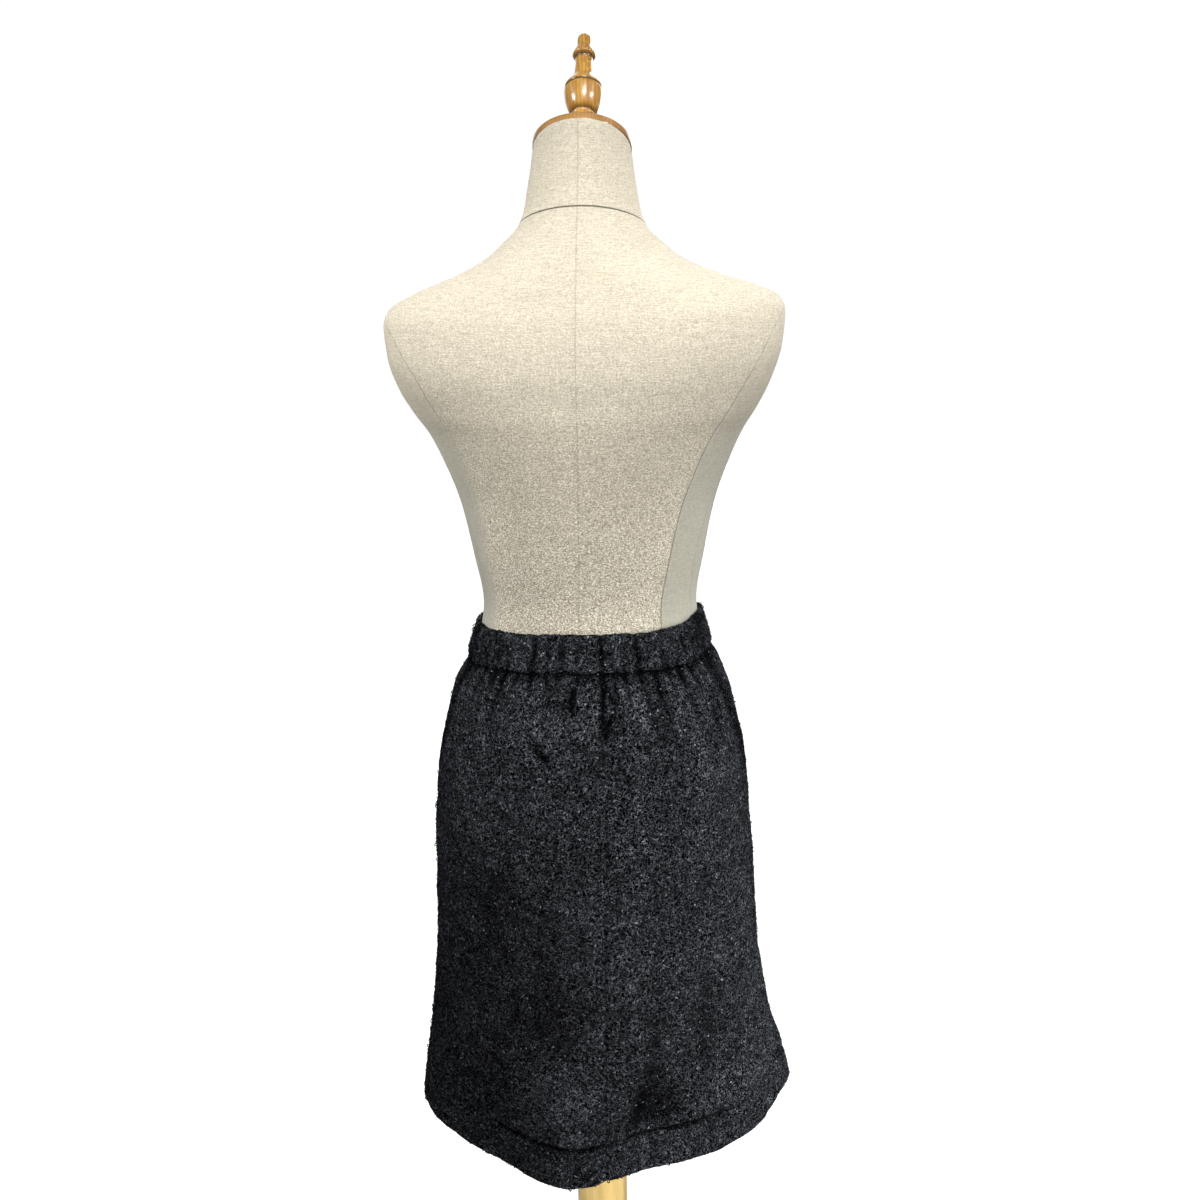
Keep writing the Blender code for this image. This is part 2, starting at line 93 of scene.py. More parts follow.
SHOULDER_LEAN, LEAN_FROM, LEAN_TO, LEAN_RAMP = 1.2, 1.220, 1.400, 0.4

Level = namedtuple("Level", "z left right front back corner yaw centre_seam left_seam right_seam")
SKIRT_LEVELS = (
    Level(1.016, 0.1225, 0.1215, 0.0920, 0.0950, 2.10, 0.0, 13, -70, 68),
    Level(0.985, 0.1390, 0.1350, 0.0990, 0.1050, 2.10, 0.0, 12, -71, 72),
    Level(0.950, 0.1485, 0.1455, 0.1040, 0.1130, 2.10, 0.5, 10, -73, 76),
    Level(0.910, 0.1570, 0.1540, 0.1090, 0.1190, 2.10, 1.0, 8, -77, 81),
    Level(0.860, 0.1640, 0.1595, 0.1130, 0.1240, 2.05, 1.5, 7, -81, 87),
    Level(0.800, 0.1672, 0.1648, 0.1150, 0.1280, 2.00, 2.0, 7, -84, 92),
    Level(0.700, 0.1708, 0.1705, 0.1210, 0.1330, 1.90, 2.5, 7, -87, 95),
    Level(0.600, 0.1825, 0.1850, 0.1300, 0.1400, 1.75, 3.0, 7, -88, 96),
    Level(0.550, 0.1892, 0.1985, 0.1350, 0.1440, 1.65, 3.5, 7, -88, 97),
    Level(0.498, 0.1955, 0.2090, 0.1400, 0.1470, 1.60, 3.5, 7, -88, 97),
)

Sag = namedtuple("Sag", "turn half_width depth")
HEM_SAGS = (Sag(-14, 20, 0.008), Sag(82, 24, -0.018))

Fold = namedtuple("Fold", "turn_top turn_foot top foot half_width height")
FOLDS = (
    Fold(-6, -6, 0.034, 0.090, 0.0065, -0.0024),
    Fold(13, 8, 0.036, 0.112, 0.0065, -0.0028),
    Fold(22, 21, 0.030, 0.140, 0.0100, 0.0028),
    Fold(30, 30, 0.036, 0.118, 0.0075, -0.0024),
    Fold(43, 51, 0.030, 0.190, 0.0130, 0.0030),
    Fold(-18, -12, 0.098, 0.130, 0.0065, -0.0026),
    Fold(-38, -36, 0.036, 0.108, 0.0080, -0.0022),
    Fold(-58, -61, 0.085, 0.165, 0.0090, -0.0022),
    Fold(-42, -30, 0.230, 0.360, 0.0260, -0.0034),
    Fold(-18, -14, 0.320, 0.440, 0.0220, -0.0034),
    Fold(46, 43, 0.330, 0.460, 0.0180, -0.0034),
    Fold(27, 16, 0.420, 0.720, 0.0240, -0.0065),
    Fold(-12, -11, 0.400, 0.740, 0.0340, 0.0085),
    Fold(56, 54, 0.430, 0.720, 0.0300, 0.0050),
    Fold(112, 116, 0.180, 0.700, 0.0300, -0.0040),
    Fold(150, 146, 0.120, 0.660, 0.0280, 0.0045),
    Fold(178, 182, 0.240, 0.720, 0.0260, -0.0045),
    Fold(212, 208, 0.140, 0.690, 0.0280, 0.0045),
    Fold(244, 246, 0.260, 0.700, 0.0300, -0.0040),
)
FOLD_RISE, FOLD_FALL = 0.25, 0.35

# ---- finer shapes of the cloth ----

# One gather: its turn on the band, how deep it cuts into the band and into the cloth under it, its half width, how
# far down the cloth it runs and how many degrees it drifts on the way. Lengths in millimetres.
Gather = namedtuple("Gather", "turn band cloth half_width reach drift")
GATHERS = (
    Gather(-66.0, 1.6, 1.4, 1.9, 30, -3),
    Gather(-58.5, 2.2, 1.8, 1.9, 36, -4),
    Gather(-51.0, 2.8, 2.8, 2.3, 54, -4),
    Gather(-43.5, 3.0, 2.0, 2.2, 34, -3),
    Gather(-37.0, 1.6, 2.6, 2.8, 58, -3),
    Gather(-29.5, 1.6, 1.8, 1.7, 40, -2),
    Gather(-22.5, 3.8, 2.8, 2.2, 46, 0),
    Gather(-16.0, 2.2, 1.6, 1.7, 28, 2),
    Gather(-9.5, 2.0, 3.4, 2.0, 34, -4),
    Gather(-2.5, 1.2, 1.4, 1.7, 26, 0),
    Gather(7.5, 4.2, 5.8, 1.9, 66, -1),
    Gather(12.0, 1.4, 1.8, 1.4, 36, 1),
    Gather(17.0, 1.4, 2.2, 2.6, 60, 3),
    Gather(24.0, 4.0, 3.0, 2.6, 76, 4),
    Gather(31.0, 1.4, 2.2, 3.0, 84, 5),
    Gather(38.0, 2.8, 1.8, 2.8, 70, 7),
    Gather(44.5, 1.8, 2.8, 3.2, 104, 8),
    Gather(51.0, 3.0, 2.0, 2.6, 66, 9),
    Gather(57.0, 1.8, 2.2, 1.9, 60, 8),
    Gather(62.5, 2.2, 1.6, 1.7, 50, 9),
)
BAND_PUFF = 0.0019
CLOTH_PUFF = 0.0026
PUFF_FADE = 0.045

# Short creases and dents in the cloth: turns and depths under the waist at both ends, half width, depth
Crease = namedtuple("Crease", "turn_a under_a turn_b under_b half_width depth")
CREASES = (
    Crease(-3.6, 0.048, -4.4, 0.072, 2.0, 4.2),
    Crease(9.0, 0.046, 11.5, 0.064, 1.6, 2.6),
    Crease(10.0, 0.074, 7.5, 0.096, 1.9, 3.4),
    Crease(-16.6, 0.110, -12.5, 0.119, 2.8, 5.2),
    Crease(22.0, 0.092, 24.5, 0.103, 1.4, 1.6),
    Crease(12.0, 0.122, 16.0, 0.142, 1.7, 2.2),
    Crease(54.0, 0.118, 57.0, 0.128, 1.6, 1.8),
    Crease(60.0, 0.094, 61.0, 0.099, 1.7, 2.2),
    Crease(-61.5, 0.114, -63.0, 0.138, 2.2, 2.0),
    Crease(-46.0, 0.086, -47.5, 0.110, 1.9, 1.4),
    Crease(38.0, 0.440, 33.0, 0.447, 2.2, 1.6),
    Crease(25.5, 0.380, 22.5, 0.445, 7.0, 1.8),
    Crease(22.5, 0.445, 17.0, 0.500, 6.5, 1.6),
    Crease(-34.0, 0.455, -36.5, 0.470, 2.9, 1.4),
    Crease(-52.0, 0.210, -56.0, 0.228, 2.2, 1.4),
    Crease(104.0, 0.110, 100.0, 0.140, 2.2, 1.8),
    Crease(140.0, 0.300, 134.0, 0.322, 2.2, 1.6),
    Crease(197.0, 0.210, 202.0, 0.226, 2.2, 1.6),
    Crease(228.0, 0.120, 224.0, 0.146, 2.2, 1.8),
    Crease(170.0, 0.420, 164.0, 0.430, 2.2, 1.4),
    Crease(246.0, 0.330, 250.0, 0.352, 2.2, 1.6),
)

WAIST_DROP, LEFT_DROP, RIGHT_RISE, FOOT_DROP, WAVER = 0.0035, 0.0040, 0.0050, 0.0020, 0.0009
SEAM_DIP, SEAM_DIP_WIDTH = 0.0010, 0.0070
SIDE_DIP = 0.0016
SEAM_ROLL, SEAM_ROLL_WIDTH = 0.0011, 0.0014
TUCK, TUCK_REACH = 0.0032, 0.0048
STITCH_DEPTH, STITCH_WIDTH = 0.0029, 0.0022
HEM_SWELL = 0.0014
LUMP, LUMP_SIZE = 0.0009, 0.026
CLUMP, CLUMP_SIZE = 0.0006, 0.010
LOOP, LOOP_SIZE = 0.0007, 0.0036
PIT, PIT_SIZE, PIT_RADIUS = 0.0013, 0.017, 0.16
SEAM_SLANT = 1.6
# Painted shade on the cloth: the depth of gathers, creases, pits and stitching that paints full shade, and the share
# of a fold's height painted as shade in its trough or light on its ridge
PAINTED_SHADE_DEPTH = 0.0029
FOLD_SHADE = 0.36
GRID, FRONT_GRID = 0.00165, 0.0021
# Painted shade beside the side seams near the waist, wider on the flat front than on the gathered back
SIDE_SEAM_SHADE, SIDE_SEAM_SHADE_WIDTH = 0.85, 0.024
NEP, NEP_SIZE, NEP_RADIUS, NEP_PAINTED_LIGHT = 0.0016, 0.015, 0.15, 0.0016

# How deep the hem's stitching sinks at each turn round it
Stitch = namedtuple("Stitch", "turn strength")
STITCHES = (
    Stitch(-180, 1.00),
    Stitch(-150, 0.65),
    Stitch(-120, 0.90),
    Stitch(-90, 0.45),
    Stitch(-55, 0.35),
    Stitch(-36, 0.55),
    Stitch(-20, 0.90),
    Stitch(-9, 1.30),
    Stitch(3, 1.25),
    Stitch(9, 0.65),
    Stitch(18, 1.00),
    Stitch(32, 1.15),
    Stitch(44, 1.05),
    Stitch(54, 0.55),
    Stitch(90, 0.45),
    Stitch(120, 0.90),
    Stitch(150, 0.65),
    Stitch(180, 1.00),
)

# ---- curves and noise ----


def curve(rows, column, at, key="z"):
    """A table's column where its key column is at, on a curve through its rows that never overshoots them."""
    rows = sorted(rows, key=lambda row: getattr(row, key))
    x = np.array([getattr(row, key) for row in rows], float)
    y = np.array([getattr(row, column) for row in rows], float)
    step = np.diff(x)
    slope = np.diff(y) / step
    tangent = np.zeros(len(x))
    tangent[0], tangent[-1] = slope[0], slope[-1]
    product, total = slope[:-1] * slope[1:], slope[:-1] + slope[1:]
    same = product > 0
    tangent[1:-1][same] = 2 * product[same] / total[same]
    at = np.clip(at, x[0], x[-1])
    i = np.clip(np.searchsorted(x, at, side="right") - 1, 0, len(step) - 1)
    t = (at - x[i]) / step[i]
    return (
        y[i] * (2 * t**3 - 3 * t**2 + 1)
        + y[i + 1] * (3 * t**2 - 2 * t**3)
        + tangent[i] * step[i] * (t**3 - 2 * t**2 + t)
        + tangent[i + 1] * step[i] * (t**3 - t**2)
    )


def ease(t):
    """From 0 to 1, flat at both ends."""
    t = np.clip(t, 0, 1)
    return t * t * (3 - 2 * t)


def bell(distance, half_width):
    return np.exp(-((distance / half_width) ** 2))


def squared(value, corner):
    return np.abs(value) ** (2 / corner) * np.sign(value)


def turn_away(turn, middle):
    """The signed angle from middle to turn, both in radians."""
    return (turn - middle + np.pi) % (2 * np.pi) - np.pi


def hashed(cells, seed):
    """A repeatable number from 0 to 1 for each whole-number cell."""
    n = cells[..., 0] * 73856093 ^ cells[..., 1] * 19349663 ^ cells[..., 2] * 83492791 ^ seed * 15485863
    n = (n ^ (n >> 13)) * 1274126177
    n = (n ^ (n >> 16)) & 0xFFFFF
    return n / 0xFFFFF


def value_noise(points, size, seed):
    """Smooth noise from -1 to 1 whose lumps are about size across. size may differ along each axis."""
    p = points / np.asarray(size)
    cell = np.floor(p).astype(np.int64)
    t = p - cell
    t = t * t * (3 - 2 * t)
    total = 0.0
    for corner in np.ndindex(2, 2, 2):
        weight = np.prod(np.where(corner, t, 1 - t), axis=-1)
        total = total + weight * hashed(cell + np.array(corner), seed)
    return 2 * total - 1


def cell_noise(points, size, seed):
    """The distance to the nearest of scattered points, one a cell, in cells, and that point's own number."""
    p = points / size
    cell = np.floor(p).astype(np.int64)
    nearest = np.full(p.shape[:-1], 9.0)
    own = np.zeros(p.shape[:-1])
    for step in np.ndindex(3, 3, 3):
        there = cell + np.array(step) - 1
        spot = np.stack([hashed(there, seed + k) for k in range(3)], axis=-1)
        distance = np.linalg.norm(there + spot - p, axis=-1)
        closer = distance < nearest
        nearest = np.where(closer, distance, nearest)
        own = np.where(closer, hashed(there, seed + 7), own)
    return nearest, own


# ---- outlines of the form and the skirt, seen from above ----


def form_values(z):
    return {name: curve(FORM_RINGS, name, z) for name in ("half_width", "front", "back", "middle", "corner")}


def form_plan(turn, z):
    ring = form_values(z)
    x = -ring["half_width"] * squared(np.sin(turn), ring["corner"])
    depth = np.where(np.cos(turn) > 0, ring["back"], ring["front"])
    y = depth * squared(np.cos(turn), ring["corner"])
    bust = bell(np.abs(x) - BUST_X, BUST_WIDTH) * bell(z - BUST_Z, BUST_HEIGHT)
    y = np.where(y < 0, y - BUST_REACH * bust * ease(-y / depth), y)
    return np.stack([x, ring["middle"] + y], axis=-1)


def skirt_plan(turn, z):
    yaw = np.radians(curve(SKIRT_LEVELS, "yaw", z))
    turn = turn - yaw
    side = np.where(np.sin(turn) > 0, curve(SKIRT_LEVELS, "right", z), curve(SKIRT_LEVELS, "left", z))
    depth = np.where(np.cos(turn) > 0, curve(SKIRT_LEVELS, "back", z), curve(SKIRT_LEVELS, "front", z))
    corner = curve(SKIRT_LEVELS, "corner", z)
    x, y = -side * squared(np.sin(turn), corner), depth * squared(np.cos(turn), corner)
    return np.stack([x * np.cos(yaw) - y * np.sin(yaw), x * np.sin(yaw) + y * np.cos(yaw)], axis=-1)


def moved_out(plan, turn, z, out):
    """Points of a plan outline, moved level and straight out of it."""
    step = np.radians(2)
    along = plan(turn + step, z) - plan(turn - step, z)
    normal = np.stack([along[..., 1], -along[..., 0]], axis=-1)
    normal /= np.linalg.norm(normal, axis=-1, keepdims=True)
    place = plan(turn, z) + normal * np.asarray(out)[..., None]
    return np.concatenate([place, np.broadcast_to(z, turn.shape)[..., None]], axis=-1)


def seam_turn(seam, z):
    return np.radians(curve(SKIRT_LEVELS, seam, z))


def form_room(points):
    """How far each point must move out so that PANEL_CLEAR stays between it and the form."""
    z = np.maximum(points[..., 2], FORM_BOTTOM_Z)
    ring = form_values(z)
    across, behind = np.abs(points[..., 0]), points[..., 1] - ring["middle"]
    depth = np.where(behind > 0, ring["back"], ring["front"])
    corner = ring["corner"]
    share = ((across / ring["half_width"]) ** corner + (np.abs(behind) / depth) ** corner) ** (1 / corner)
    reach = np.hypot(across, behind)
    return np.maximum(0.0, reach / share + PANEL_CLEAR - reach)


# ---- how the cloth stands out from its plain outline ----


def gathers(turn, z, radius):
    """How far the back is puffed out, and how deep the gathers cut into it."""
    under = BAND_FOOT_Z - z
    on_band = under < 0
    back = ease((np.radians(70) - np.abs(turn_away(turn, 0))) / np.radians(6))
    puff = back * np.where(on_band, BAND_PUFF, CLOTH_PUFF * np.exp(-np.maximum(under, 0) / PUFF_FADE))
    cut = np.zeros(turn.shape)
    spots = np.stack([radius * turn_away(turn, 0), z, np.zeros(turn.shape)], axis=-1)
    broken = 1.0 + 0.55 * value_noise(spots, (0.009, 0.014, 9), 71)
    for row in GATHERS:
        run = np.clip(under / (row.reach * MM), 0, None)
        middle = np.radians(row.turn + row.drift * run)
        width = row.half_width * MM * (1 + 0.35 * run)
        depth = np.where(on_band, row.band, row.cloth * broken * np.exp(-1.6 * run**1.5)) * MM
        cut = cut + depth * bell(turn_away(turn, middle) * radius, width)
    return puff, cut


def folds(turn, z, radius):
    lift = np.zeros(turn.shape)
    under = WAIST_Z - z
    for fold in FOLDS:
        share = (under - fold.top) / (fold.foot - fold.top)
        middle = np.radians(fold.turn_top + (fold.turn_foot - fold.turn_top) * share)
        ends = ease(share / FOLD_RISE) * ease((1 - share) / FOLD_FALL)
        lift = lift + fold.height * ends * bell(turn_away(turn, middle) * radius, fold.half_width)
    return lift


def creases(turn, z, radius):
    """Short creases, each a trough round a segment on the cloth."""
    drop = np.zeros(turn.shape)
    under = WAIST_Z - z
    for row in CREASES:
        along = turn_away(turn, np.radians(row.turn_a)) * radius
        down = under - row.under_a
        run = np.radians(row.turn_b - row.turn_a) * radius
        fall = row.under_b - row.under_a
        share = np.clip((along * run + down * fall) / (run**2 + fall**2), 0, 1)
        distance = np.hypot(along - share * run, down - share * fall)
        taper = 0.35 + 0.65 * np.sin(np.pi * np.clip(share, 0.08, 0.92))
        drop = drop + row.depth * MM * taper * bell(distance, row.half_width * MM)
    return drop


def seam_dips(turn, z, radius):
    drop = np.zeros(turn.shape)
    for seam, depth in (("centre_seam", SEAM_DIP), ("left_seam", SIDE_DIP), ("right_seam", SIDE_DIP)):
        away = np.abs(turn_away(turn, seam_turn(seam, z))) * radius
        drop = drop + depth * bell(away, SEAM_DIP_WIDTH) + SEAM_ROLL * bell(away, SEAM_ROLL_WIDTH)
    return drop


def knop(points):
    """The boucle's own surface: how far its lumps and loops lift it, and how deep its small pits cut."""
    loops, own = cell_noise(points, LOOP_SIZE, 11)
    pits, which = cell_noise(points, PIT_SIZE, 31)
    lift = LUMP * value_noise(points, LUMP_SIZE, 3) + CLUMP * value_noise(points, CLUMP_SIZE, 5)
    lift += LOOP * (0.55 + 0.6 * own) * (0.5 - np.clip(loops, 0, 1.1) ** 2)
    return lift, PIT * (which > 0.55) * bell(pits, PIT_RADIUS)


def neps(points):
    """Small balls of felted yarn, most of them low on the wearer's left."""
    balls, which = cell_noise(points, NEP_SIZE, 83)
    low_left = ease((points[..., 0] + 0.03) / 0.08) * ease((0.84 - points[..., 2]) / 0.12)
    return bell(balls, NEP_RADIUS) * (which > 0.93 - 0.45 * low_left)


def lowered(turn, z):
    """The waist sits a little low, most at the wearer's left, and the band's foot wavers."""
    left = ease((-np.degrees(turn_away(turn, 0)) - 5) / 60) * ease((150 + np.degrees(turn_away(turn, 0))) / 60)
    right = ease((np.degrees(turn_away(turn, 0)) - 40) / 40) * ease((150 - np.degrees(turn_away(turn, 0))) / 60)
    drop = (WAIST_DROP + LEFT_DROP * left - RIGHT_RISE * right) * ease((z - 0.88) / 0.13)
    drop = drop + FOOT_DROP * ease((WAIST_Z - z) / BAND_HEIGHT) * ease((z - 0.92) / 0.08)
    spots = np.stack([np.sin(turn), np.cos(turn), np.zeros(turn.shape)], axis=-1)
    waver = value_noise(spots, 0.16, 61) + 0.6 * value_noise(spots, 0.06, 67)
    return z - drop - WAVER * waver * bell(z - BAND_FOOT_Z, 0.014)


def sagged(points, turn):
    """The points, lowered where the hem hangs low."""
    share = (WAIST_Z - points[..., 2]) / SKIRT_LENGTH
    for sag in HEM_SAGS:
        away = np.degrees(turn_away(turn, np.radians(sag.turn)))
        points[..., 2] -= sag.depth * share**3 * bell(away, sag.half_width)
    return points


def hem_shape(turn, z):
    """The stitched groove at the hem's top and the doubled cloth's swell under it."""
    stitch = HEM_Z + HEM_DEPTH
    spots = np.stack([turn * 0.15, z, np.zeros(turn.shape)], axis=-1)
    uneven = curve(STITCHES, "strength", np.degrees(turn_away(turn, 0)), "turn")
    uneven = uneven + 0.25 * value_noise(spots, (0.009, 9, 9), 43)
    stitch = stitch + 0.0012 * value_noise(spots, (0.024, 9, 9), 41)
    swell = HEM_SWELL * ease((stitch - z) / 0.006) * (1 + 0.5 * value_noise(spots, (0.018, 0.02, 9), 47))
    return swell - STITCH_DEPTH * np.clip(uneven, 0.1, 1.5) * bell(z - stitch, STITCH_WIDTH)


def cloth(turn, z, out, rough):
    """Points of the cloth, out from its outer face, with the boucle's surface if rough, and its painted shading:
    painted shade in gathers, creases, pits and stitching, painted light on raised folds and neps.
    """
    radius = np.linalg.norm(skirt_plan(turn, z), axis=-1)
    under = np.maximum(BAND_FOOT_Z - z, 0)
    puff, cut = gathers(turn, z, radius)
    cut = cut + creases(turn, z, radius) + TUCK * np.exp(-under / TUCK_REACH)
    stitch = hem_shape(turn, z)
    fold = folds(turn, z, radius)
    lift = puff - cut + fold - seam_dips(turn, z, radius) + stitch

    def place(lift):
        points = moved_out(skirt_plan, turn, z, lift)
        points[..., 2] = lowered(turn, z)
        return points

    lift = lift + form_room(place(lift - CLOTH))
    if rough:
        whole = place(lift)
        bumps, pits = knop(whole)
        balls = neps(whole)
        lift = lift + bumps - pits + NEP * balls
        # Pits take painted shade, neps painted light
        cut = cut + pits - NEP_PAINTED_LIGHT * balls
    # Painted shade in the hem's stitching and the folds' troughs, painted light on raised folds, above the hem
    over_hem = ease((z - HEM_Z - HEM_DEPTH) / 0.020)
    cut = cut + np.maximum(-stitch, 0) - FOLD_SHADE * fold * over_hem
    painted_shading = np.clip(cut / PAINTED_SHADE_DEPTH, -0.45, 1)
    return sagged(place(lift + out), turn), painted_shading


# ---- meshes ----


def mesh_object(name, points, faces, material, smooth=True):
    mesh = bpy.data.meshes.new(name)
    mesh.from_pydata(points.reshape(-1, 3).tolist(), [], faces)
    mesh.materials.append(material)
    if smooth:
        mesh.shade_smooth()
    made = bpy.data.objects.new(name, mesh)
    bpy.context.scene.collection.objects.link(made)
    return made


def attribute(made, name, values):
    made.data.attributes.new(name, "FLOAT", "POINT").data.foreach_set("value", values.ravel().astype(np.float32))


def tube_faces(columns, ring, first_end=True):
    """Quads of columns of closed rings of points, with both ends closed, each by one face round its ring."""
    c, r = np.meshgrid(np.arange(columns - 1), np.arange(ring), indexing="ij")
    after = (r + 1) % ring
    quads = np.stack([c * ring + r, c * ring + after, (c + 1) * ring + after, (c + 1) * ring + r], axis=-1)
    faces = quads.reshape(-1, 4).tolist()
    last = (columns - 1) * ring
    faces.append([k for k in range(ring)][::-1])
    faces.append([last + k for k in range(ring)])
    return faces


def spread(length, step):
    """Shares from 0 to 1 about a step apart, with closer ones at both ends."""
    shares = np.linspace(0, 1, int(round(length / step)) + 1)
    near = np.array([0.0005, 0.0011]) / length
    return np.sort(np.concatenate([shares, near, 1 - near]))


def wall_object(name, shares, first_seam, last_seam, rows, point_rows, material):
    """A closed wall between two seams, from its section's rows, outer face first.

    Its ends are cut at a slant, as a pressed seam hides what is behind it.
    """
    z = np.array([row.z for row in rows])[None, :]
    first, last = seam_turn(first_seam, z), seam_turn(last_seam, z)
    span = (last - first) % (2 * np.pi)
    inset = SEAM_GAP / 2 / curve(SKIRT_LEVELS, "front", z)
    turn = first + inset + (span - 2 * inset) * shares[:, None]
    near_seam = bell(np.minimum(shares, 1 - shares)[:, None] * span * 0.12, 0.02)
    turn = turn + SEAM_SLANT * near_seam * np.array([row.inward for row in rows]) / 0.12
    points, painted_shading = point_rows(turn, np.broadcast_to(z, turn.shape))
    # Painted shade beside the side seams near the waist, added to the painted shading of the rows
    side_ends = [end for end, seam in ((shares, first_seam), (1 - shares, last_seam)) if seam != "centre_seam"]
    away = np.min(side_ends, axis=0)[:, None] * span * 0.13
    width = SIDE_SEAM_SHADE_WIDTH if "front" in name else SIDE_SEAM_SHADE_WIDTH / 2
    painted_shading = np.minimum(painted_shading + SIDE_SEAM_SHADE * bell(away, width) * ease((z - 0.78) / 0.12), 1)
    made = mesh_object(name, points, tube_faces(*turn.shape), material)
    attribute(made, "painted_shading", painted_shading)
    return made, points


# One row round a wall's section: its height, how far inward it lies, and that as the share left of the thickness
WallRow = namedtuple("WallRow", "z inward")


def panel_rows(grid):
    """A panel's section: down its outer face, round the hem's fold and up its inner face."""
    top, foot = BAND_FOOT_Z - SEAM_GAP, HEM_Z
    half = HEM_CLOTH / 2
    outer = [(z, 0.0) for z in np.linspace(top, foot + half, int((top - foot - half) / grid))]
    turns = np.radians(np.arange(20, 161, 20))
    fold = [(foot + half - half * np.sin(a), half - half * np.cos(a)) for a in turns]
    edge = foot + HEM_DEPTH - 0.003
    turned_up = [(z, HEM_CLOTH) for z in np.linspace(foot + half, edge, 9)]
    step = [(edge + 0.0009, HEM_CLOTH - 0.0004), (edge + 0.0012, CLOTH + 0.0002)]
    inner = [(z, CLOTH) for z in np.linspace(edge + 0.004, top, 60)]
    return [WallRow(*row) for row in outer + fold + turned_up + step + inner], len(outer)


def panel(name, first_seam, last_seam, width, material):
    grid = FRONT_GRID if "front" in name else GRID
    rows, outer = panel_rows(grid)
    outs = -np.array([row.inward for row in rows])
    rough = outer + 8

    def place(turn, z):
        points, painted_shading = np.empty((*turn.shape, 3)), np.zeros(turn.shape)
        points[:, :rough], painted_shading[:, :rough] = cloth(turn[:, :rough], z[:, :rough], outs[:rough], True)
        points[:, rough:] = cloth(turn[:, rough:], z[:, rough:], outs[rough:], False)[0]
        return points, painted_shading

    made, points = wall_object(name, spread(width, grid), first_seam, last_seam, rows, place, material)
    return made, points[:, : outer + 4]


BandRow = namedtuple("BandRow", "share thick")
BAND_SECTION = (
    BandRow(1.00, 0.0040),
    BandRow(0.82, 0.0056),
    BandRow(0.50, 0.0064),
    BandRow(0.18, 0.0060),
    BandRow(0.00, 0.0042),
)


BAND_INWARD = 0.0040


def band(name, first_seam, last_seam, width, material):
    half = 0.0018
    high = WAIST_Z - half
    outer = [WallRow(z, 0.0) for z in np.linspace(BAND_FOOT_Z, high, 24)[::-1]]
    inner = [WallRow(z, BAND_INWARD) for z in np.linspace(BAND_FOOT_Z, high, 10)]
    turns = np.radians(np.arange(20, 161, 20))
    fold = [WallRow(high + half * np.sin(a), BAND_INWARD * (0.5 + 0.5 * np.cos(a))) for a in turns]
    rows = outer + inner + fold
    shares_out = 1 - np.array([row.inward for row in rows]) / BAND_INWARD

    def place(turn, z):
        low = lowered(turn, z)
        radius = np.linalg.norm(form_plan(turn, low), axis=-1)
        thick = curve(BAND_SECTION, "thick", (z - BAND_FOOT_Z) / BAND_HEIGHT, "share")
        puff, cut = gathers(turn, np.maximum(z, BAND_FOOT_Z + 1e-6), radius)
        cut = cut * (0.55 + 0.45 * np.cos(np.clip((z - 1.033) / 0.017, -1, 1) * 2.2) ** 2)
        whole = moved_out(form_plan, turn, low, REST_GAP + thick + puff - cut)
        bumps, pits = knop(whole)
        thick = thick + puff - cut - seam_dips(turn, z, radius) + 0.8 * bumps - pits
        thick = np.maximum(thick + 0.0004 * value_noise(whole, (0.007, 0.007, 0.03), 53), 0.0016)
        points = moved_out(form_plan, turn, low, REST_GAP + thick * shares_out)
        top = ease((z - high + 0.006) / 0.006)
        points[..., 2] += top * (0.0009 * value_noise(points * (1, 1, 0), 0.012, 59) - 0.5 * cut)
        # Painted shade in the band's gathers and pits
        return points, np.clip((cut + pits) / PAINTED_SHADE_DEPTH, 0, 1) * shares_out

    made, points = wall_object(name, spread(width, 0.0016), first_seam, last_seam, rows, place, material)
    return made, np.concatenate([points[:, len(rows) - 4 :], points[:, :24]], axis=1)


# ---- loose loops of the yarn ----

LOOP_RINGS = 4
KNOTS_FROM = 0.93


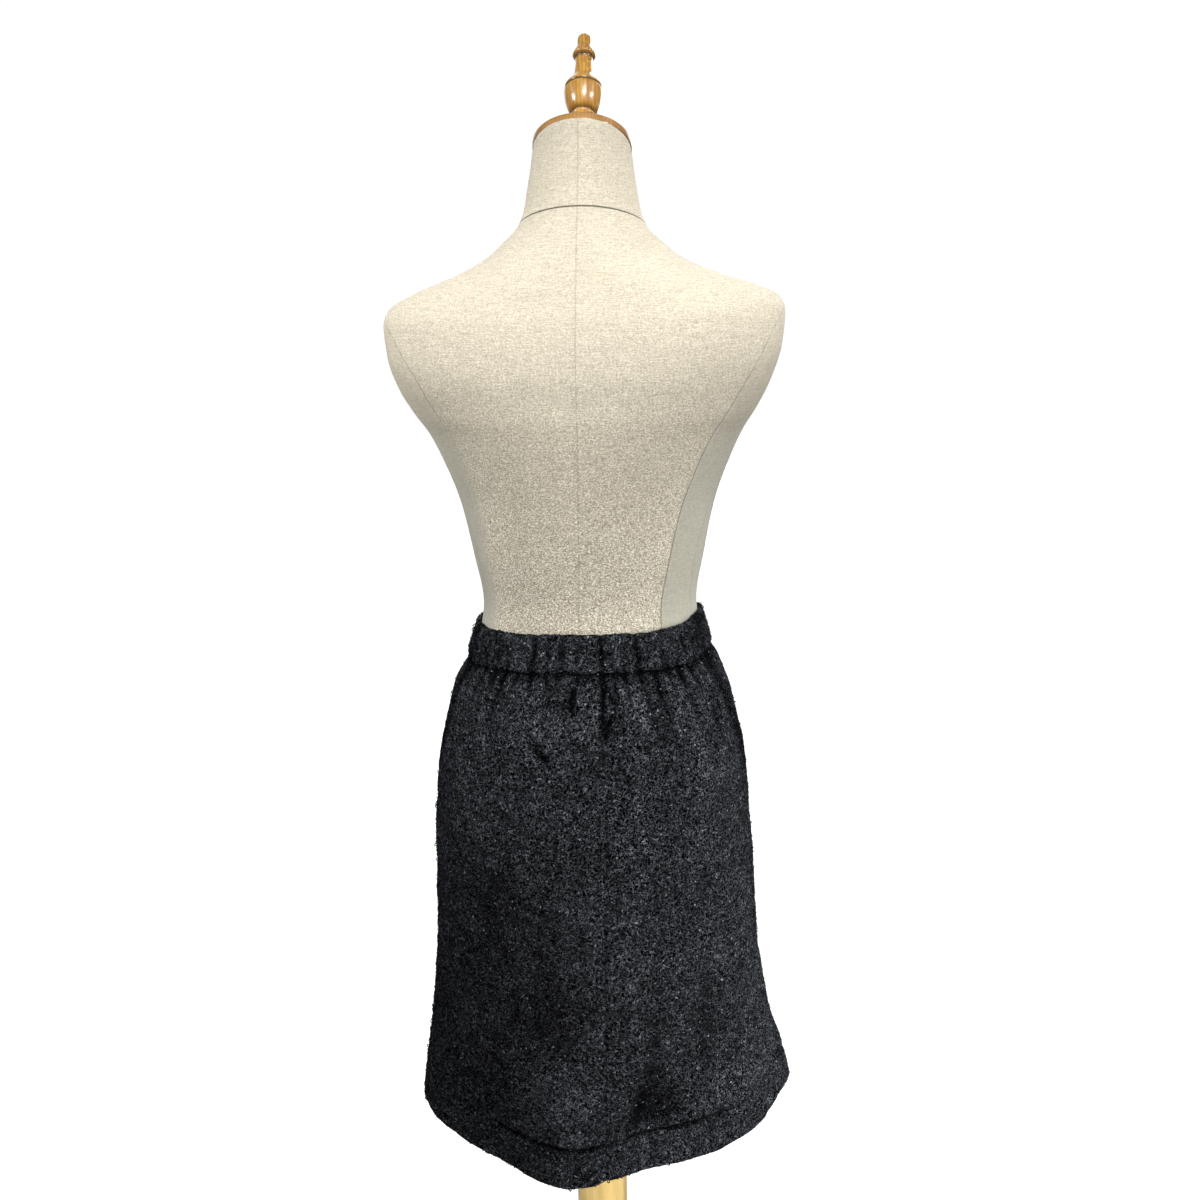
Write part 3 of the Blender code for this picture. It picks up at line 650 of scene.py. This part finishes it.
def loops(name, points, count, seed, material):
    """Small curled loops of yarn standing on a grid of surface points."""
    rng = np.random.default_rng(seed)
    along = np.gradient(points, axis=0)
    down = np.gradient(points, axis=1)
    normals = np.cross(along, down)
    normals /= np.linalg.norm(normals, axis=-1, keepdims=True)
    middle = points.reshape(-1, 3).mean(axis=0)
    outward = points - middle * (1, 1, 0)
    if (normals * outward).sum() < 0:
        normals = -normals
    i = rng.integers(2, points.shape[0] - 2, count)
    j = rng.integers(1, points.shape[1] - 1, count)
    shift = rng.random((count, 2, 1)) - 0.5
    place = points[i, j] + along[i, j] * shift[:, 0] + down[i, j] * shift[:, 1]
    n = normals[i, j] + 0.55 * (rng.random((count, 3)) - 0.5)
    n /= np.linalg.norm(n, axis=-1, keepdims=True)
    a = np.cross(n, rng.standard_normal((count, 3)))
    a /= np.linalg.norm(a, axis=-1, keepdims=True)
    b = np.cross(n, a)
    knot = 1 + 1.1 * (rng.random((count, 1, 1)) > KNOTS_FROM)
    radius = (0.55 + 0.75 * rng.random((count, 1, 1))) * MM * (0.6 + 0.4 * knot)
    high = 0.5 + 0.9 * rng.random((count, 1, 1))
    yarn = (0.20 + 0.14 * rng.random((count, 1, 1))) * MM * knot
    arc = np.radians(np.linspace(-25, 205, LOOP_RINGS))
    sides = np.radians((90, 210, 330))
    theta, side = (x.ravel()[None, :, None] for x in np.meshgrid(arc, sides, indexing="ij"))
    n, a, b = n[:, None], a[:, None], b[:, None]
    radial = a * np.cos(theta) + n * np.sin(theta) * high
    skew = b * (0.6 * (rng.random((count, 1, 1)) - 0.5)) * np.cos(theta)
    centre = place[:, None] - n * 0.25 * MM + (radial + skew) * radius
    spots = centre + (radial * np.sin(side) + b * np.cos(side)) * yarn
    tube = []
    for ring in range(LOOP_RINGS - 1):
        for k in range(3):
            after = (k + 1) % 3
            tube.append((ring * 3 + k, ring * 3 + 3 + k, ring * 3 + 3 + after, ring * 3 + after))
    starts = 3 * LOOP_RINGS * np.arange(count)[:, None, None]
    last = 3 * LOOP_RINGS - 1
    ends = np.array([(0, 1, 2), (last, last - 1, last - 2)])
    faces = (np.array(tube) + starts).reshape(-1, 4).tolist() + (ends + starts).reshape(-1, 3).tolist()
    return mesh_object(name, spots, faces, material)


# ---- the form and the stand ----

FORM_SIDES = 168

# Where the form's seams run on each side: the turn at each height, down to the foot
SeamSpot = namedtuple("SeamSpot", "z turn")
LEFT_BACK = (
    SeamSpot(1.345, 80),
    SeamSpot(1.331, 66),
    SeamSpot(1.309, 56),
    SeamSpot(1.287, 50),
    SeamSpot(1.250, 48),
    SeamSpot(1.180, 51),
    SeamSpot(1.079, 54.5),
    SeamSpot(1.049, 56),
    SeamSpot(0.790, 54),
)
RIGHT_BACK = (
    SeamSpot(1.349, 86),
    SeamSpot(1.318, 65),
    SeamSpot(1.293, 57.5),
    SeamSpot(1.268, 53),
    SeamSpot(1.231, 50),
    SeamSpot(1.183, 47.5),
    SeamSpot(1.121, 44),
    SeamSpot(1.059, 41.5),
    SeamSpot(0.790, 40),
)
FLANK = (
    SeamSpot(1.300, 92),
    SeamSpot(1.200, 80),
    SeamSpot(1.108, 66),
    SeamSpot(1.052, 71),
    SeamSpot(0.790, 80),
)
SIDE_FRONT = (
    SeamSpot(1.350, 112),
    SeamSpot(1.290, 124),
    SeamSpot(1.215, 136),
    SeamSpot(1.130, 140),
    SeamSpot(1.050, 141),
    SeamSpot(0.790, 142),
)
NECK_SEAM_Z, NECK_SEAM_RISE = 1.4160, 0.0050
# The centre seam leans towards the wearer's left under this height, by this much a metre
CENTRE_LEAN_FROM, CENTRE_LEAN = 1.220, 0.028
# How dark each of the form's seams is drawn
SeamLine = namedtuple("SeamLine", "name tone half_width")
FORM_SEAM_LINES = (
    SeamLine("seam_centre", 0.21, 0.0007),
    SeamLine("seam_back", 0.60, 0.0007),
    SeamLine("seam_flank", 0.26, 0.0007),
    SeamLine("seam_front", 0.26, 0.0007),
    SeamLine("seam_neck", 0.97, 0.0006),
)


def form_heights():
    return np.linspace(FORM_BOTTOM_Z, NECK_TOP.z, 190)


def shoulder_lean(z):
    share = (z - LEAN_FROM) / (LEAN_TO - LEAN_FROM)
    return SHOULDER_LEAN * ease(share / LEAN_RAMP) * ease((1 - share) / LEAN_RAMP)


def form_body(material):
    heights = form_heights()
    turns = 2 * np.pi * np.arange(FORM_SIDES) / FORM_SIDES
    z, turn = np.meshgrid(heights, turns, indexing="ij")
    plan = form_plan(turn, z)
    middle = curve(FORM_RINGS, "middle", z)
    tip = np.radians(curve(FORM_RINGS, "tip", z))
    lean = np.radians(shoulder_lean(z))
    height = z + (plan[..., 1] - middle) * np.tan(tip) - plan[..., 0] * np.tan(lean)
    points = np.concatenate([plan, height[..., None]], axis=-1)
    radius = np.hypot(plan[..., 0], plan[..., 1] - middle)
    away = np.degrees(np.abs(turn_away(turn, 0)))
    back_seam = np.where(np.sin(turn) > 0, curve(RIGHT_BACK, "turn", z), curve(LEFT_BACK, "turn", z))
    seams = {
        "seam_centre": plan[..., 0] - CENTRE_LEAN * np.maximum(CENTRE_LEAN_FROM - z, 0),
        "seam_back": np.radians(away - back_seam) * radius + 9.0 * (z > RIGHT_BACK[0].z),
        "seam_flank": np.radians(away - curve(FLANK, "turn", z)) * radius + 9.0 * (z > FLANK[0].z),
        "seam_front": np.radians(away - curve(SIDE_FRONT, "turn", z)) * radius + 9.0 * (z > SIDE_FRONT[0].z),
        "seam_neck": z - NECK_SEAM_Z - NECK_SEAM_RISE * np.cos(turn),
    }
    # The left back seam shows only by the armhole and softens under it, where its side panel turns away
    right = np.sin(turn) > 0
    panel_edge = np.where(right, 0.0006, 0.0006 + 0.012 * ease((1.290 - z) / 0.05))
    side = ease(0.5 + 0.5 * seams["seam_back"] / panel_edge) * (seams["seam_front"] < 0)
    seams["back_line"] = np.where(right, 1.0, 0.15 + 0.85 * ease((z - 1.235) / 0.035))
    seams["side_panel"] = side
    seams["cool"] = side * ease((1.285 - z) / 0.10)
    rows, sides = z.shape
    r, s = np.meshgrid(np.arange(rows - 1), np.arange(sides), indexing="ij")
    after = (s + 1) % sides
    quads = np.stack([r * sides + s, r * sides + after, (r + 1) * sides + after, (r + 1) * sides + s], axis=-1)
    faces = quads.reshape(-1, 4).tolist()
    faces.append(list(range(sides))[::-1])
    faces.append([(rows - 1) * sides + k for k in range(sides)])
    made = mesh_object("linen_form", points, faces, material)
    for name, values in seams.items():
        attribute(made, name, values)
    return made


def turned(name, profile, material, sides):
    """A solid turned about Z from (radius, height) rows, foot first."""
    turns = 2 * np.pi * np.arange(sides) / sides
    profile = np.asarray(profile)
    points = np.stack(
        [
            profile[:, :1] * np.cos(turns),
            profile[:, :1] * np.sin(turns),
            np.repeat(profile[:, 1:], sides, axis=1),
        ],
        axis=-1,
    )
    rows = len(profile)
    r, s = np.meshgrid(np.arange(rows - 1), np.arange(sides), indexing="ij")
    after = (s + 1) % sides
    quads = np.stack([r * sides + s, r * sides + after, (r + 1) * sides + after, (r + 1) * sides + s], axis=-1)
    faces = quads.reshape(-1, 4).tolist()
    faces.append(list(range(sides))[::-1])
    faces.append([(rows - 1) * sides + k for k in range(sides)])
    made = mesh_object(name, points, faces, material)
    made.data.set_sharp_from_angle(angle=np.radians(38))
    return made


CAP_RADIUS, CAP_THICK, CAP_EDGE = 0.0468, 0.010, 0.003
Turning = namedtuple("Turning", "z radius")
FINIAL = (
    Turning(0.0000, 0.0150),
    Turning(0.0030, 0.0160),
    Turning(0.0100, 0.0112),
    Turning(0.0170, 0.0100),
    Turning(0.0235, 0.0102),
    Turning(0.0278, 0.0120),
    Turning(0.0310, 0.0102),
    Turning(0.0335, 0.0134),
    Turning(0.0375, 0.0154),
    Turning(0.0440, 0.0172),
    Turning(0.0540, 0.0184),
    Turning(0.0575, 0.0171),
    Turning(0.0585, 0.0178),
    Turning(0.0650, 0.0138),
    Turning(0.0705, 0.0100),
    Turning(0.0760, 0.0089),
    Turning(0.0870, 0.0080),
    Turning(0.0905, 0.0083),
    Turning(0.0940, 0.0111),
    Turning(0.0995, 0.0090),
    Turning(0.1046, 0.0069),
    Turning(0.1115, 0.0066),
    Turning(0.1145, 0.0058),
    Turning(0.1155, 0.0036),
)
FINIAL_STEP = 0.0007
TURNED_SIDES = 56
# Painted shade in the finial's turned grooves and under its ring: (height, half width)
FINIAL_GROOVE_SHADE = ((0.0312, 0.0010), (0.0575, 0.0012), (0.0908, 0.0014))
# Painted shadow along the cap's foot, where it meets the neck: (height, half width)
CAP_FOOT_SHADOW = (0.0004, 0.0014)

BASE_THICK, BASE_RADIUS, POLE_RADIUS = 0.026, 0.185, 0.028


def neck_matrix():
    return Matrix.Translation((0, NECK_TOP.middle, NECK_TOP.z)) @ Matrix.Rotation(np.radians(NECK_TOP.tip), 4, "X")


def neck_cap(material):
    edge = CAP_EDGE
    turns = np.radians(np.arange(0, 91, 15))
    low = [(CAP_RADIUS - edge + edge * np.sin(a), edge - edge * np.cos(a)) for a in turns]
    high = [(CAP_RADIUS - edge + edge * np.cos(a), CAP_THICK - edge + edge * np.sin(a)) for a in turns]
    made = turned("wood_cap", low + high, material, 128)
    # Painted shadow at the cap's foot
    foot, width = CAP_FOOT_SHADOW
    attribute(made, "line", np.repeat(bell(np.array(low + high)[:, 1] - foot, width), 128))
    made.data.transform(neck_matrix() @ Matrix.Translation((0, 0, SEAT_GAP)))
    return made


def finial(material):
    heights = np.linspace(0, FINIAL[-1].z, int(FINIAL[-1].z / FINIAL_STEP) + 1)
    profile = np.stack([curve(FINIAL, "radius", heights), heights], axis=-1)
    made = turned("wood_finial", profile, material, TURNED_SIDES)
    # Painted shade in the turned grooves
    dark = sum(bell(heights - z, width) for z, width in FINIAL_GROOVE_SHADE)
    attribute(made, "line", np.repeat(dark, TURNED_SIDES))
    made.data.transform(neck_matrix() @ Matrix.Translation((0, 0, CAP_THICK + 2 * SEAT_GAP)))
    return made


def stand(pole_wood, disc_wood):
    pole_top = FORM_BOTTOM_Z - SEAT_GAP
    foot = BASE_THICK + SEAT_GAP
    heights = np.linspace(foot, pole_top, 24)
    pole = turned("wood_pole", [(POLE_RADIUS, z) for z in heights], pole_wood, 96)
    turns = np.radians(np.arange(0, 91, 10))
    low, high = 0.003, 0.009
    profile = [(BASE_RADIUS - low + low * np.sin(a), low - low * np.cos(a)) for a in turns]
    profile += [(BASE_RADIUS - high + high * np.cos(a), BASE_THICK - high + high * np.sin(a)) for a in turns]
    profile += [(r, BASE_THICK) for r in (0.15, 0.12, 0.09, 0.06, 0.03, 0.01)]
    base = turned("wood_base", profile, disc_wood, 192)
    return pole, base


# ---- materials ----


class Surface:
    """A Principled material and short ways to build its nodes."""

    def __init__(self, name, roughness, **constants):
        self.material = bpy.data.materials.new(name)
        self.material.use_nodes = True
        self.tree = self.material.node_tree
        self.shader = self.tree.nodes["Principled BSDF"]
        self.shader.inputs["Roughness"].default_value = roughness
        self.shader.inputs["Metallic"].default_value = 0.0
        for key, value in constants.items():
            self.shader.inputs[key.replace("_", " ")].default_value = value
        self.object_place = self.node("TexCoord").outputs["Object"]

    def node(self, kind, settings=(), **inputs):
        made = self.tree.nodes.new("ShaderNode" + kind)
        for key, value in dict(settings).items():
            setattr(made, key, value)
        for key, value in inputs.items():
            self.put(made.inputs[key.replace("_", " ")], value)
        return made

    def put(self, socket, value):
        if isinstance(value, bpy.types.NodeSocket):
            self.tree.links.new(value, socket)
        else:
            socket.default_value = value

    def math(self, operation, a, b=0.0, c=0.0, clamp=False):
        made = self.node("Math", {"operation": operation, "use_clamp": clamp})
        for socket, value in zip(made.inputs, (a, b, c)):
            self.put(socket, value)
        return made.outputs[0]

    def mix(self, share, first, second):
        made = self.node("Mix", {"data_type": "RGBA"})
        self.put(made.inputs["Factor"], share)
        self.put(made.inputs["A"], first)
        self.put(made.inputs["B"], second)
        return next(o for o in made.outputs if o.type == "RGBA")

    def scaled(self, x, y, z):
        return self.node("Mapping", Vector=self.object_place, Scale=(x, y, z)).outputs[0]

    def noise(self, place, scale, detail=2.0, roughness=0.5):
        made = self.node("TexNoise", Vector=place, Scale=scale, Detail=detail, Roughness=roughness)
        return made.outputs["Fac"]

    def cells(self, place, scale, feature="F1"):
        return self.node("TexVoronoi", {"feature": feature}, Vector=place, Scale=scale)

    def ramp(self, value, low, high):
        made = self.node("MapRange", {"clamp": True}, Value=value, From_Min=low, From_Max=high)
        return made.outputs[0]

    def stored(self, name):
        return self.node("Attribute", {"attribute_name": name}).outputs["Fac"]

    def bump(self, height, strength, distance, before=None):
        made = self.node("Bump", Height=height, Strength=strength, Distance=distance)
        if before is not None:
            self.put(made.inputs["Normal"], before)
        return made.outputs[0]

    def finish(self, colour, normal=None, roughness=None):
        self.put(self.shader.inputs["Base Color"], colour)
        if normal is not None:
            self.put(self.shader.inputs["Normal"], normal)
        if roughness is not None:
            self.put(self.shader.inputs["Roughness"], roughness)
        return self.material


def boucle_material(name, dark, pale, glint):
    """Looped black wool: its pale curls of yarn a painted highlight over the wool's own black, with a few painted
    glints and the cloth's stored painted shade and light.
    """
    s = Surface(name, 1.0, Specular_IOR_Level=0.0)
    place = s.object_place
    bend = s.node("TexNoise", Vector=place, Scale=270.0, Detail=1.0).outputs["Color"]
    warped = s.node("VectorMath", {"operation": "MULTIPLY_ADD"})
    s.put(warped.inputs[0], bend)
    s.put(warped.inputs[1], (0.0034, 0.0034, 0.0034))
    s.put(warped.inputs[2], place)
    curls = s.cells(warped.outputs[0], 430.0)
    # Painted highlight at the crown of each curl
    curl_highlight = s.ramp(curls.outputs["Distance"], 0.56, 0.18)
    each = s.node("SeparateColor", Color=curls.outputs["Color"]).outputs[0]
    worm = s.noise(warped.outputs[0], 350.0, 1.0, 0.5)
    worm = s.ramp(s.math("ABSOLUTE", s.math("SUBTRACT", worm, 0.5)), 0.082, 0.025)
    fine = s.noise(place, 800.0, 2.0, 0.6)
    broad = s.noise(place, 16.0, 4.0, 0.6)
    patch = s.noise(place, 75.0, 3.0, 0.55)
    high = s.math("MAXIMUM", s.math("MULTIPLY", curl_highlight, 0.55), worm)
    light = s.math("MULTIPLY", high, s.math("MULTIPLY_ADD", each, 0.75, 0.25))
    light = s.math("MULTIPLY", light, s.math("MULTIPLY_ADD", s.ramp(fine, 0.40, 0.62), 0.85, 0.15))
    light = s.math("MULTIPLY", light, s.math("MULTIPLY_ADD", s.ramp(broad, 0.34, 0.66), 0.5, 0.70))
    light = s.math("MULTIPLY", light, s.math("MULTIPLY_ADD", s.ramp(patch, 0.34, 0.66), 0.5, 0.75))
    # Painted shade and light from the stored painted shading: darker in gathers, creases, pits and beside the side
    # seams, lighter on raised folds and neps
    painted_shading = s.math("MULTIPLY_ADD", s.stored("painted_shading"), -0.93, 1.0)
    light = s.math("MULTIPLY", light, painted_shading, clamp=True)
    colour = s.mix(light, dark, pale)
    # A few painted glints on single curls
    painted_glint = s.math("MULTIPLY", s.ramp(each, 0.972, 0.982), s.ramp(curl_highlight, 0.45, 0.8))
    colour = s.mix(painted_glint, colour, glint)
    height = s.math("MULTIPLY_ADD", fine, 0.3, high)
    normal = s.bump(height, 1.0, 0.0020)
    return s.finish(colour, normal)


def linen_material():
    """Natural linen: thick and thin threads, slubs, pale and dark flecks, plainer side panels and pressed seams."""
    s = Surface("linen", 0.88, Sheen_Weight=0.12, Sheen_Roughness=0.5, Specular_IOR_Level=0.2)
    weft = s.noise(s.scaled(1, 1, 9), 150.0, 3.0, 0.6)
    warp = s.noise(s.scaled(5, 5, 0.5), 150.0, 2.0, 0.6)
    slub = s.noise(s.scaled(1, 1, 14), 60.0, 2.0, 0.5)
    grain = s.noise(s.scaled(1, 1, 1.6), 620.0, 2.0, 0.65)
    fleck = s.noise(s.scaled(1, 1, 1.35), 620.0, 2.0, 0.7)
    cloud = s.noise(s.object_place, 14.0, 3.0, 0.6)
    threads = s.math("MULTIPLY_ADD", warp, 0.45, s.math("MULTIPLY", weft, 0.75))
    tone = s.math("ADD", s.ramp(threads, 0.35, 0.85), s.math("MULTIPLY", s.ramp(slub, 0.52, 0.75), 0.30))
    tone = s.math("MULTIPLY_ADD", s.math("SUBTRACT", s.ramp(grain, 0.30, 0.70), 0.5), 0.55, tone, clamp=True)
    pale, deep = (0.60, 0.545, 0.430, 1), (0.330, 0.292, 0.220, 1)
    colour = s.mix(tone, deep, pale)
    colour = s.mix(s.math("MULTIPLY", s.ramp(cloud, 0.35, 0.75), 0.16), colour, (0.36, 0.34, 0.27, 1))
    height = s.node("SeparateXYZ", Vector=s.object_place).outputs[2]
    low = s.math("MULTIPLY_ADD", s.ramp(height, 1.36, 1.08), 0.80, 0.16)
    flecked = s.math("MULTIPLY_ADD", s.stored("side_panel"), -0.85, 1.0)
    flecked = s.math("MULTIPLY", flecked, low)
    pale_fleck = s.math("MULTIPLY", s.ramp(fleck, 0.535, 0.63), flecked)
    colour = s.mix(pale_fleck, colour, (0.86, 0.82, 0.70, 1))
    dark_fleck = s.math("MULTIPLY", s.ramp(fleck, 0.48, 0.37), flecked)
    colour = s.mix(dark_fleck, colour, (0.20, 0.175, 0.125, 1))
    colour = s.mix(s.math("MULTIPLY", s.stored("cool"), 0.42), colour, (0.295, 0.312, 0.272, 1))
    lines = None
    ridges = None
    for seam in FORM_SEAM_LINES:
        away = s.math("ABSOLUTE", s.stored(seam.name))
        line = s.ramp(away, seam.half_width + 0.0004, seam.half_width - 0.0004)
        line = s.math("MULTIPLY", line, seam.tone)
        if seam.name == "seam_back":
            line = s.math("MULTIPLY", line, s.stored("back_line"))
        ridge = s.ramp(away, 0.0045, 0.0010)
        lines = line if lines is None else s.math("MAXIMUM", lines, line)
        ridges = ridge if ridges is None else s.math("MAXIMUM", ridges, ridge)
    colour = s.mix(lines, colour, (0.06, 0.052, 0.040, 1))
    weave = s.math("MULTIPLY_ADD", slub, 0.5, threads)
    normal = s.bump(weave, 0.55, 0.0006)
    groove = s.math("MULTIPLY_ADD", ridges, 0.35, s.math("MULTIPLY", lines, -2.0))
    normal = s.bump(groove, 0.4, 0.0008, normal)
    return s.finish(colour, normal)


def wood_material(name, pale, deep, roughness, coat, along=(1, 1, 0.08), line=False, figure=0.0):
    """Light wood with grain along one axis, painted shade in turned grooves and painted shadow at the cap's foot, and
    the arched figure of a cut across its rings.
    """
    s = Surface(name, roughness, Coat_Weight=coat, Coat_Roughness=0.17, Specular_IOR_Level=0.5)
    grain = s.noise(s.scaled(*(90 * k for k in along)), 1.0, 4.0, 0.6)
    fibres = s.noise(s.scaled(*(900 * k for k in along)), 1.0, 2.0, 0.5)
    broad = s.noise(s.object_place, 22.0, 2.0, 0.5)
    tone = s.math("MULTIPLY_ADD", fibres, 0.35, s.ramp(grain, 0.30, 0.72))
    tone = s.math("MULTIPLY_ADD", s.ramp(broad, 0.3, 0.7), 0.25, s.math("MULTIPLY", tone, 0.75), clamp=True)
    if figure:
        rings = s.node("TexWave", Vector=s.scaled(1, 1, 0.4), Scale=95.0, Distortion=5.0, Detail=2.0, Detail_Scale=0.6)
        rings = s.ramp(rings.outputs["Fac"], 0.62, 0.95)
        tone = s.math("MULTIPLY", tone, s.math("MULTIPLY_ADD", rings, -figure, 1.0))
    colour = s.mix(tone, deep, pale)
    # Painted shade and shadow from the stored line attribute
    if line:
        colour = s.mix(s.math("MULTIPLY", s.stored("line"), 0.9), colour, (0.05, 0.022, 0.008, 1))
    normal = s.bump(fibres, 0.12, 0.0004)
    return s.finish(colour, normal)


# ---- assembly ----

# Both cloths carry painted highlights on their curls and painted glints
boucle = boucle_material("boucle", (0.0013, 0.0015, 0.0018, 1), (0.268, 0.287, 0.325, 1), (0.40, 0.41, 0.44, 1))
yarn = boucle_material("boucle_loops", (0.006, 0.0065, 0.0075, 1), (0.220, 0.235, 0.268, 1), (0.34, 0.35, 0.38, 1))
linen = linen_material()
varnished = wood_material(
    "varnished_wood", (0.68, 0.385, 0.075, 1), (0.27, 0.105, 0.016, 1), 0.34, 0.8, (1, 1, 0.25), True, 0.55
)
cap_wood = wood_material("cap_wood", (0.40, 0.215, 0.060, 1), (0.17, 0.070, 0.018, 1), 0.32, 0.5, (0.15, 1, 1), True, 0.35)
pale_wood = wood_material("pale_wood", (0.80, 0.585, 0.22, 1), (0.50, 0.31, 0.09, 1), 0.48, 0.15)

FORM_PIECES = (
    (form_body(linen), "form_body", "linen"),
    (neck_cap(cap_wood), "neck_cap", "varnished_wood"),
    (finial(varnished), "finial", "varnished_wood"),
)
base_wood = wood_material("base_wood", (0.78, 0.56, 0.20, 1), (0.50, 0.31, 0.09, 1), 0.48, 0.15, (0.08, 1, 1))
POLE, BASE = stand(pale_wood, base_wood)
STAND_PIECES = ((POLE, "pole", "pale_wood"), (BASE, "base", "pale_wood"))
for piece, node, slot in FORM_PIECES + STAND_PIECES:
    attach(piece, "root")
    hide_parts(node)

# Each cloth piece: node, seams, width of its widest row, maker, how many loops, and the cut of the cloth that shows
# as (width, length, area) and how it is held
Piece = namedtuple("Piece", "node first last width make loops cut held")
CLOTH_PIECES = (
    Piece("front_panel", "right_seam", "left_seam", 0.452, panel, 4200, (0.500, 0.530, 0.245), "hung"),
    Piece("back_panel_left", "left_seam", "centre_seam", 0.240, panel, 5600, (0.275, 0.530, 0.128), "gathered"),
    Piece("back_panel_right", "centre_seam", "right_seam", 0.240, panel, 5600, (0.260, 0.530, 0.115), "gathered"),
    Piece("waistband_back", "left_seam", "right_seam", 0.250, band, 1900, (0.330, 0.036, 0.0118), "gathered"),
    Piece("waistband_front", "right_seam", "left_seam", 0.380, band, 1200, (0.400, 0.036, 0.0144), "folded"),
)
for seed, item in enumerate(CLOTH_PIECES):
    piece, surface = item.make("cloth_" + item.node, item.first, item.last, item.width, boucle)
    pile = loops("loops_" + item.node, surface, item.loops, 100 + seed, yarn)
    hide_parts(item.node)
    for each in (piece, pile):
        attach(each, "root")

# ---- floor, light and camera ----


# The studio is seen white all round, and lights the part more dimly
FLOOR_GLOW = 0.95


def floor():
    bpy.ops.mesh.primitive_circle_add(vertices=128, radius=9, fill_type="NGON", location=(0, 0, -0.0005))
    made = bpy.context.object
    made.name = "floor"
    s = Surface("floor", 0.8, Specular_IOR_Level=0.1)
    patches = s.noise(s.object_place, 1.5, 2.0, 0.5)
    seen = s.node("LightPath").outputs["Is Camera Ray"]
    s.shader.inputs["Emission Color"].default_value = (1, 1, 1, 1)
    s.put(s.shader.inputs["Emission Strength"], s.math("MULTIPLY", seen, FLOOR_GLOW))
    made.data.materials.append(s.finish(s.mix(patches, (0.66, 0.66, 0.66, 1), (0.70, 0.70, 0.70, 1))))


def studio_world():
    """Seen white all round, while it lights the part from the front and only dimly from elsewhere."""
    world = bpy.data.worlds.new("studio")
    world.use_nodes = True
    tree = world.node_tree
    way = tree.nodes.new("ShaderNodeTexCoord")
    axis = tree.nodes.new("ShaderNodeSeparateXYZ")
    reach = tree.nodes.new("ShaderNodeMapRange")
    for socket, value in zip(("From Min", "From Max", "To Min", "To Max"), (-0.66, -0.79, 0.16, 1.02)):
        reach.inputs[socket].default_value = value
    tree.links.new(way.outputs["Generated"], axis.inputs[0])
    tree.links.new(axis.outputs[1], reach.inputs["Value"])
    seen = tree.nodes.new("ShaderNodeLightPath")
    strength = tree.nodes.new("ShaderNodeMath")
    strength.operation = "MAXIMUM"
    tree.links.new(reach.outputs[0], strength.inputs[0])
    tree.links.new(seen.outputs["Is Camera Ray"], strength.inputs[1])
    tree.links.new(strength.outputs[0], tree.nodes["Background"].inputs["Strength"])
    tree.nodes["Background"].inputs["Color"].default_value = (1, 1, 1, 1)
    bpy.context.scene.world = world


def area_light(name, place, aim, size, power, spread=180):
    light = bpy.data.lights.new(name, "AREA")
    light.shape = "DISK"
    light.size = size
    light.energy = power
    light.spread = np.radians(spread)
    made = bpy.data.objects.new(name, light)
    made.location = place
    made.rotation_euler = (Vector(aim) - Vector(place)).to_track_quat("-Z", "Y").to_euler()
    bpy.context.scene.collection.objects.link(made)


def pole_light(place, aim, power):
    light = bpy.data.lights.new("pole_light", "SPOT")
    light.spot_size, light.spot_blend = np.radians(13), 0.6
    light.shadow_soft_size = 0.06
    light.energy = power
    made = bpy.data.objects.new("pole_light", light)
    made.location = place
    made.rotation_euler = (Vector(aim) - Vector(place)).to_track_quat("-Z", "Y").to_euler()
    bpy.context.scene.collection.objects.link(made)


def camera():
    """The photograph's view: from behind and a little to the wearer's left, at chest height, tipped down."""
    azimuth, pitch, roll = np.radians((184.0, 14.0, 1.1))
    back = Vector((np.sin(azimuth), -np.cos(azimuth), 0))
    right = Vector((np.cos(azimuth), np.sin(azimuth), 0))
    rise = Vector((0, 0, 1))
    place = back * 1.17 + right * 0.010 + rise * 1.35
    forward = -back * np.cos(pitch) - rise * np.sin(pitch)
    up = rise * np.cos(pitch) - back * np.sin(pitch)
    axis_x = right * np.cos(roll) - up * np.sin(roll)
    axis_y = up * np.cos(roll) + right * np.sin(roll)
    turn = Matrix((axis_x, axis_y, -forward)).transposed()
    data = bpy.data.cameras.new("camera")
    data.sensor_width, data.lens = 36.0, 36.0
    made = bpy.data.objects.new("camera", data)
    made.matrix_world = Matrix.Translation(place) @ turn.to_4x4()
    bpy.context.scene.collection.objects.link(made)
    bpy.context.scene.camera = made


floor()
area_light("key", (-0.25, 1.05, 2.38), (0, 0, 1.18), 0.4, 1.92, 51)
area_light("left_shoulder_fill", (1.5, 0.7, 2.1), (0.16, 0, 1.30), 0.4, 1.3, 32)
area_light("right_shoulder_fill", (-1.5, 0.7, 2.2), (-0.16, 0, 1.36), 0.4, 0.74, 24)
area_light("side_fill", (-1.6, 0.8, 0.72), (-0.15, 0, 0.66), 0.5, 2.0, 40)
area_light("front_fill", (-0.8, -2.6, 2.2), (0, 0, 1.0), 2.0, 26)
pole_light((0.25, 1.3, 0.10), (0, 0, 0.40), 52)
camera()
studio_world()
bpy.context.scene.view_settings.view_transform = "Standard"
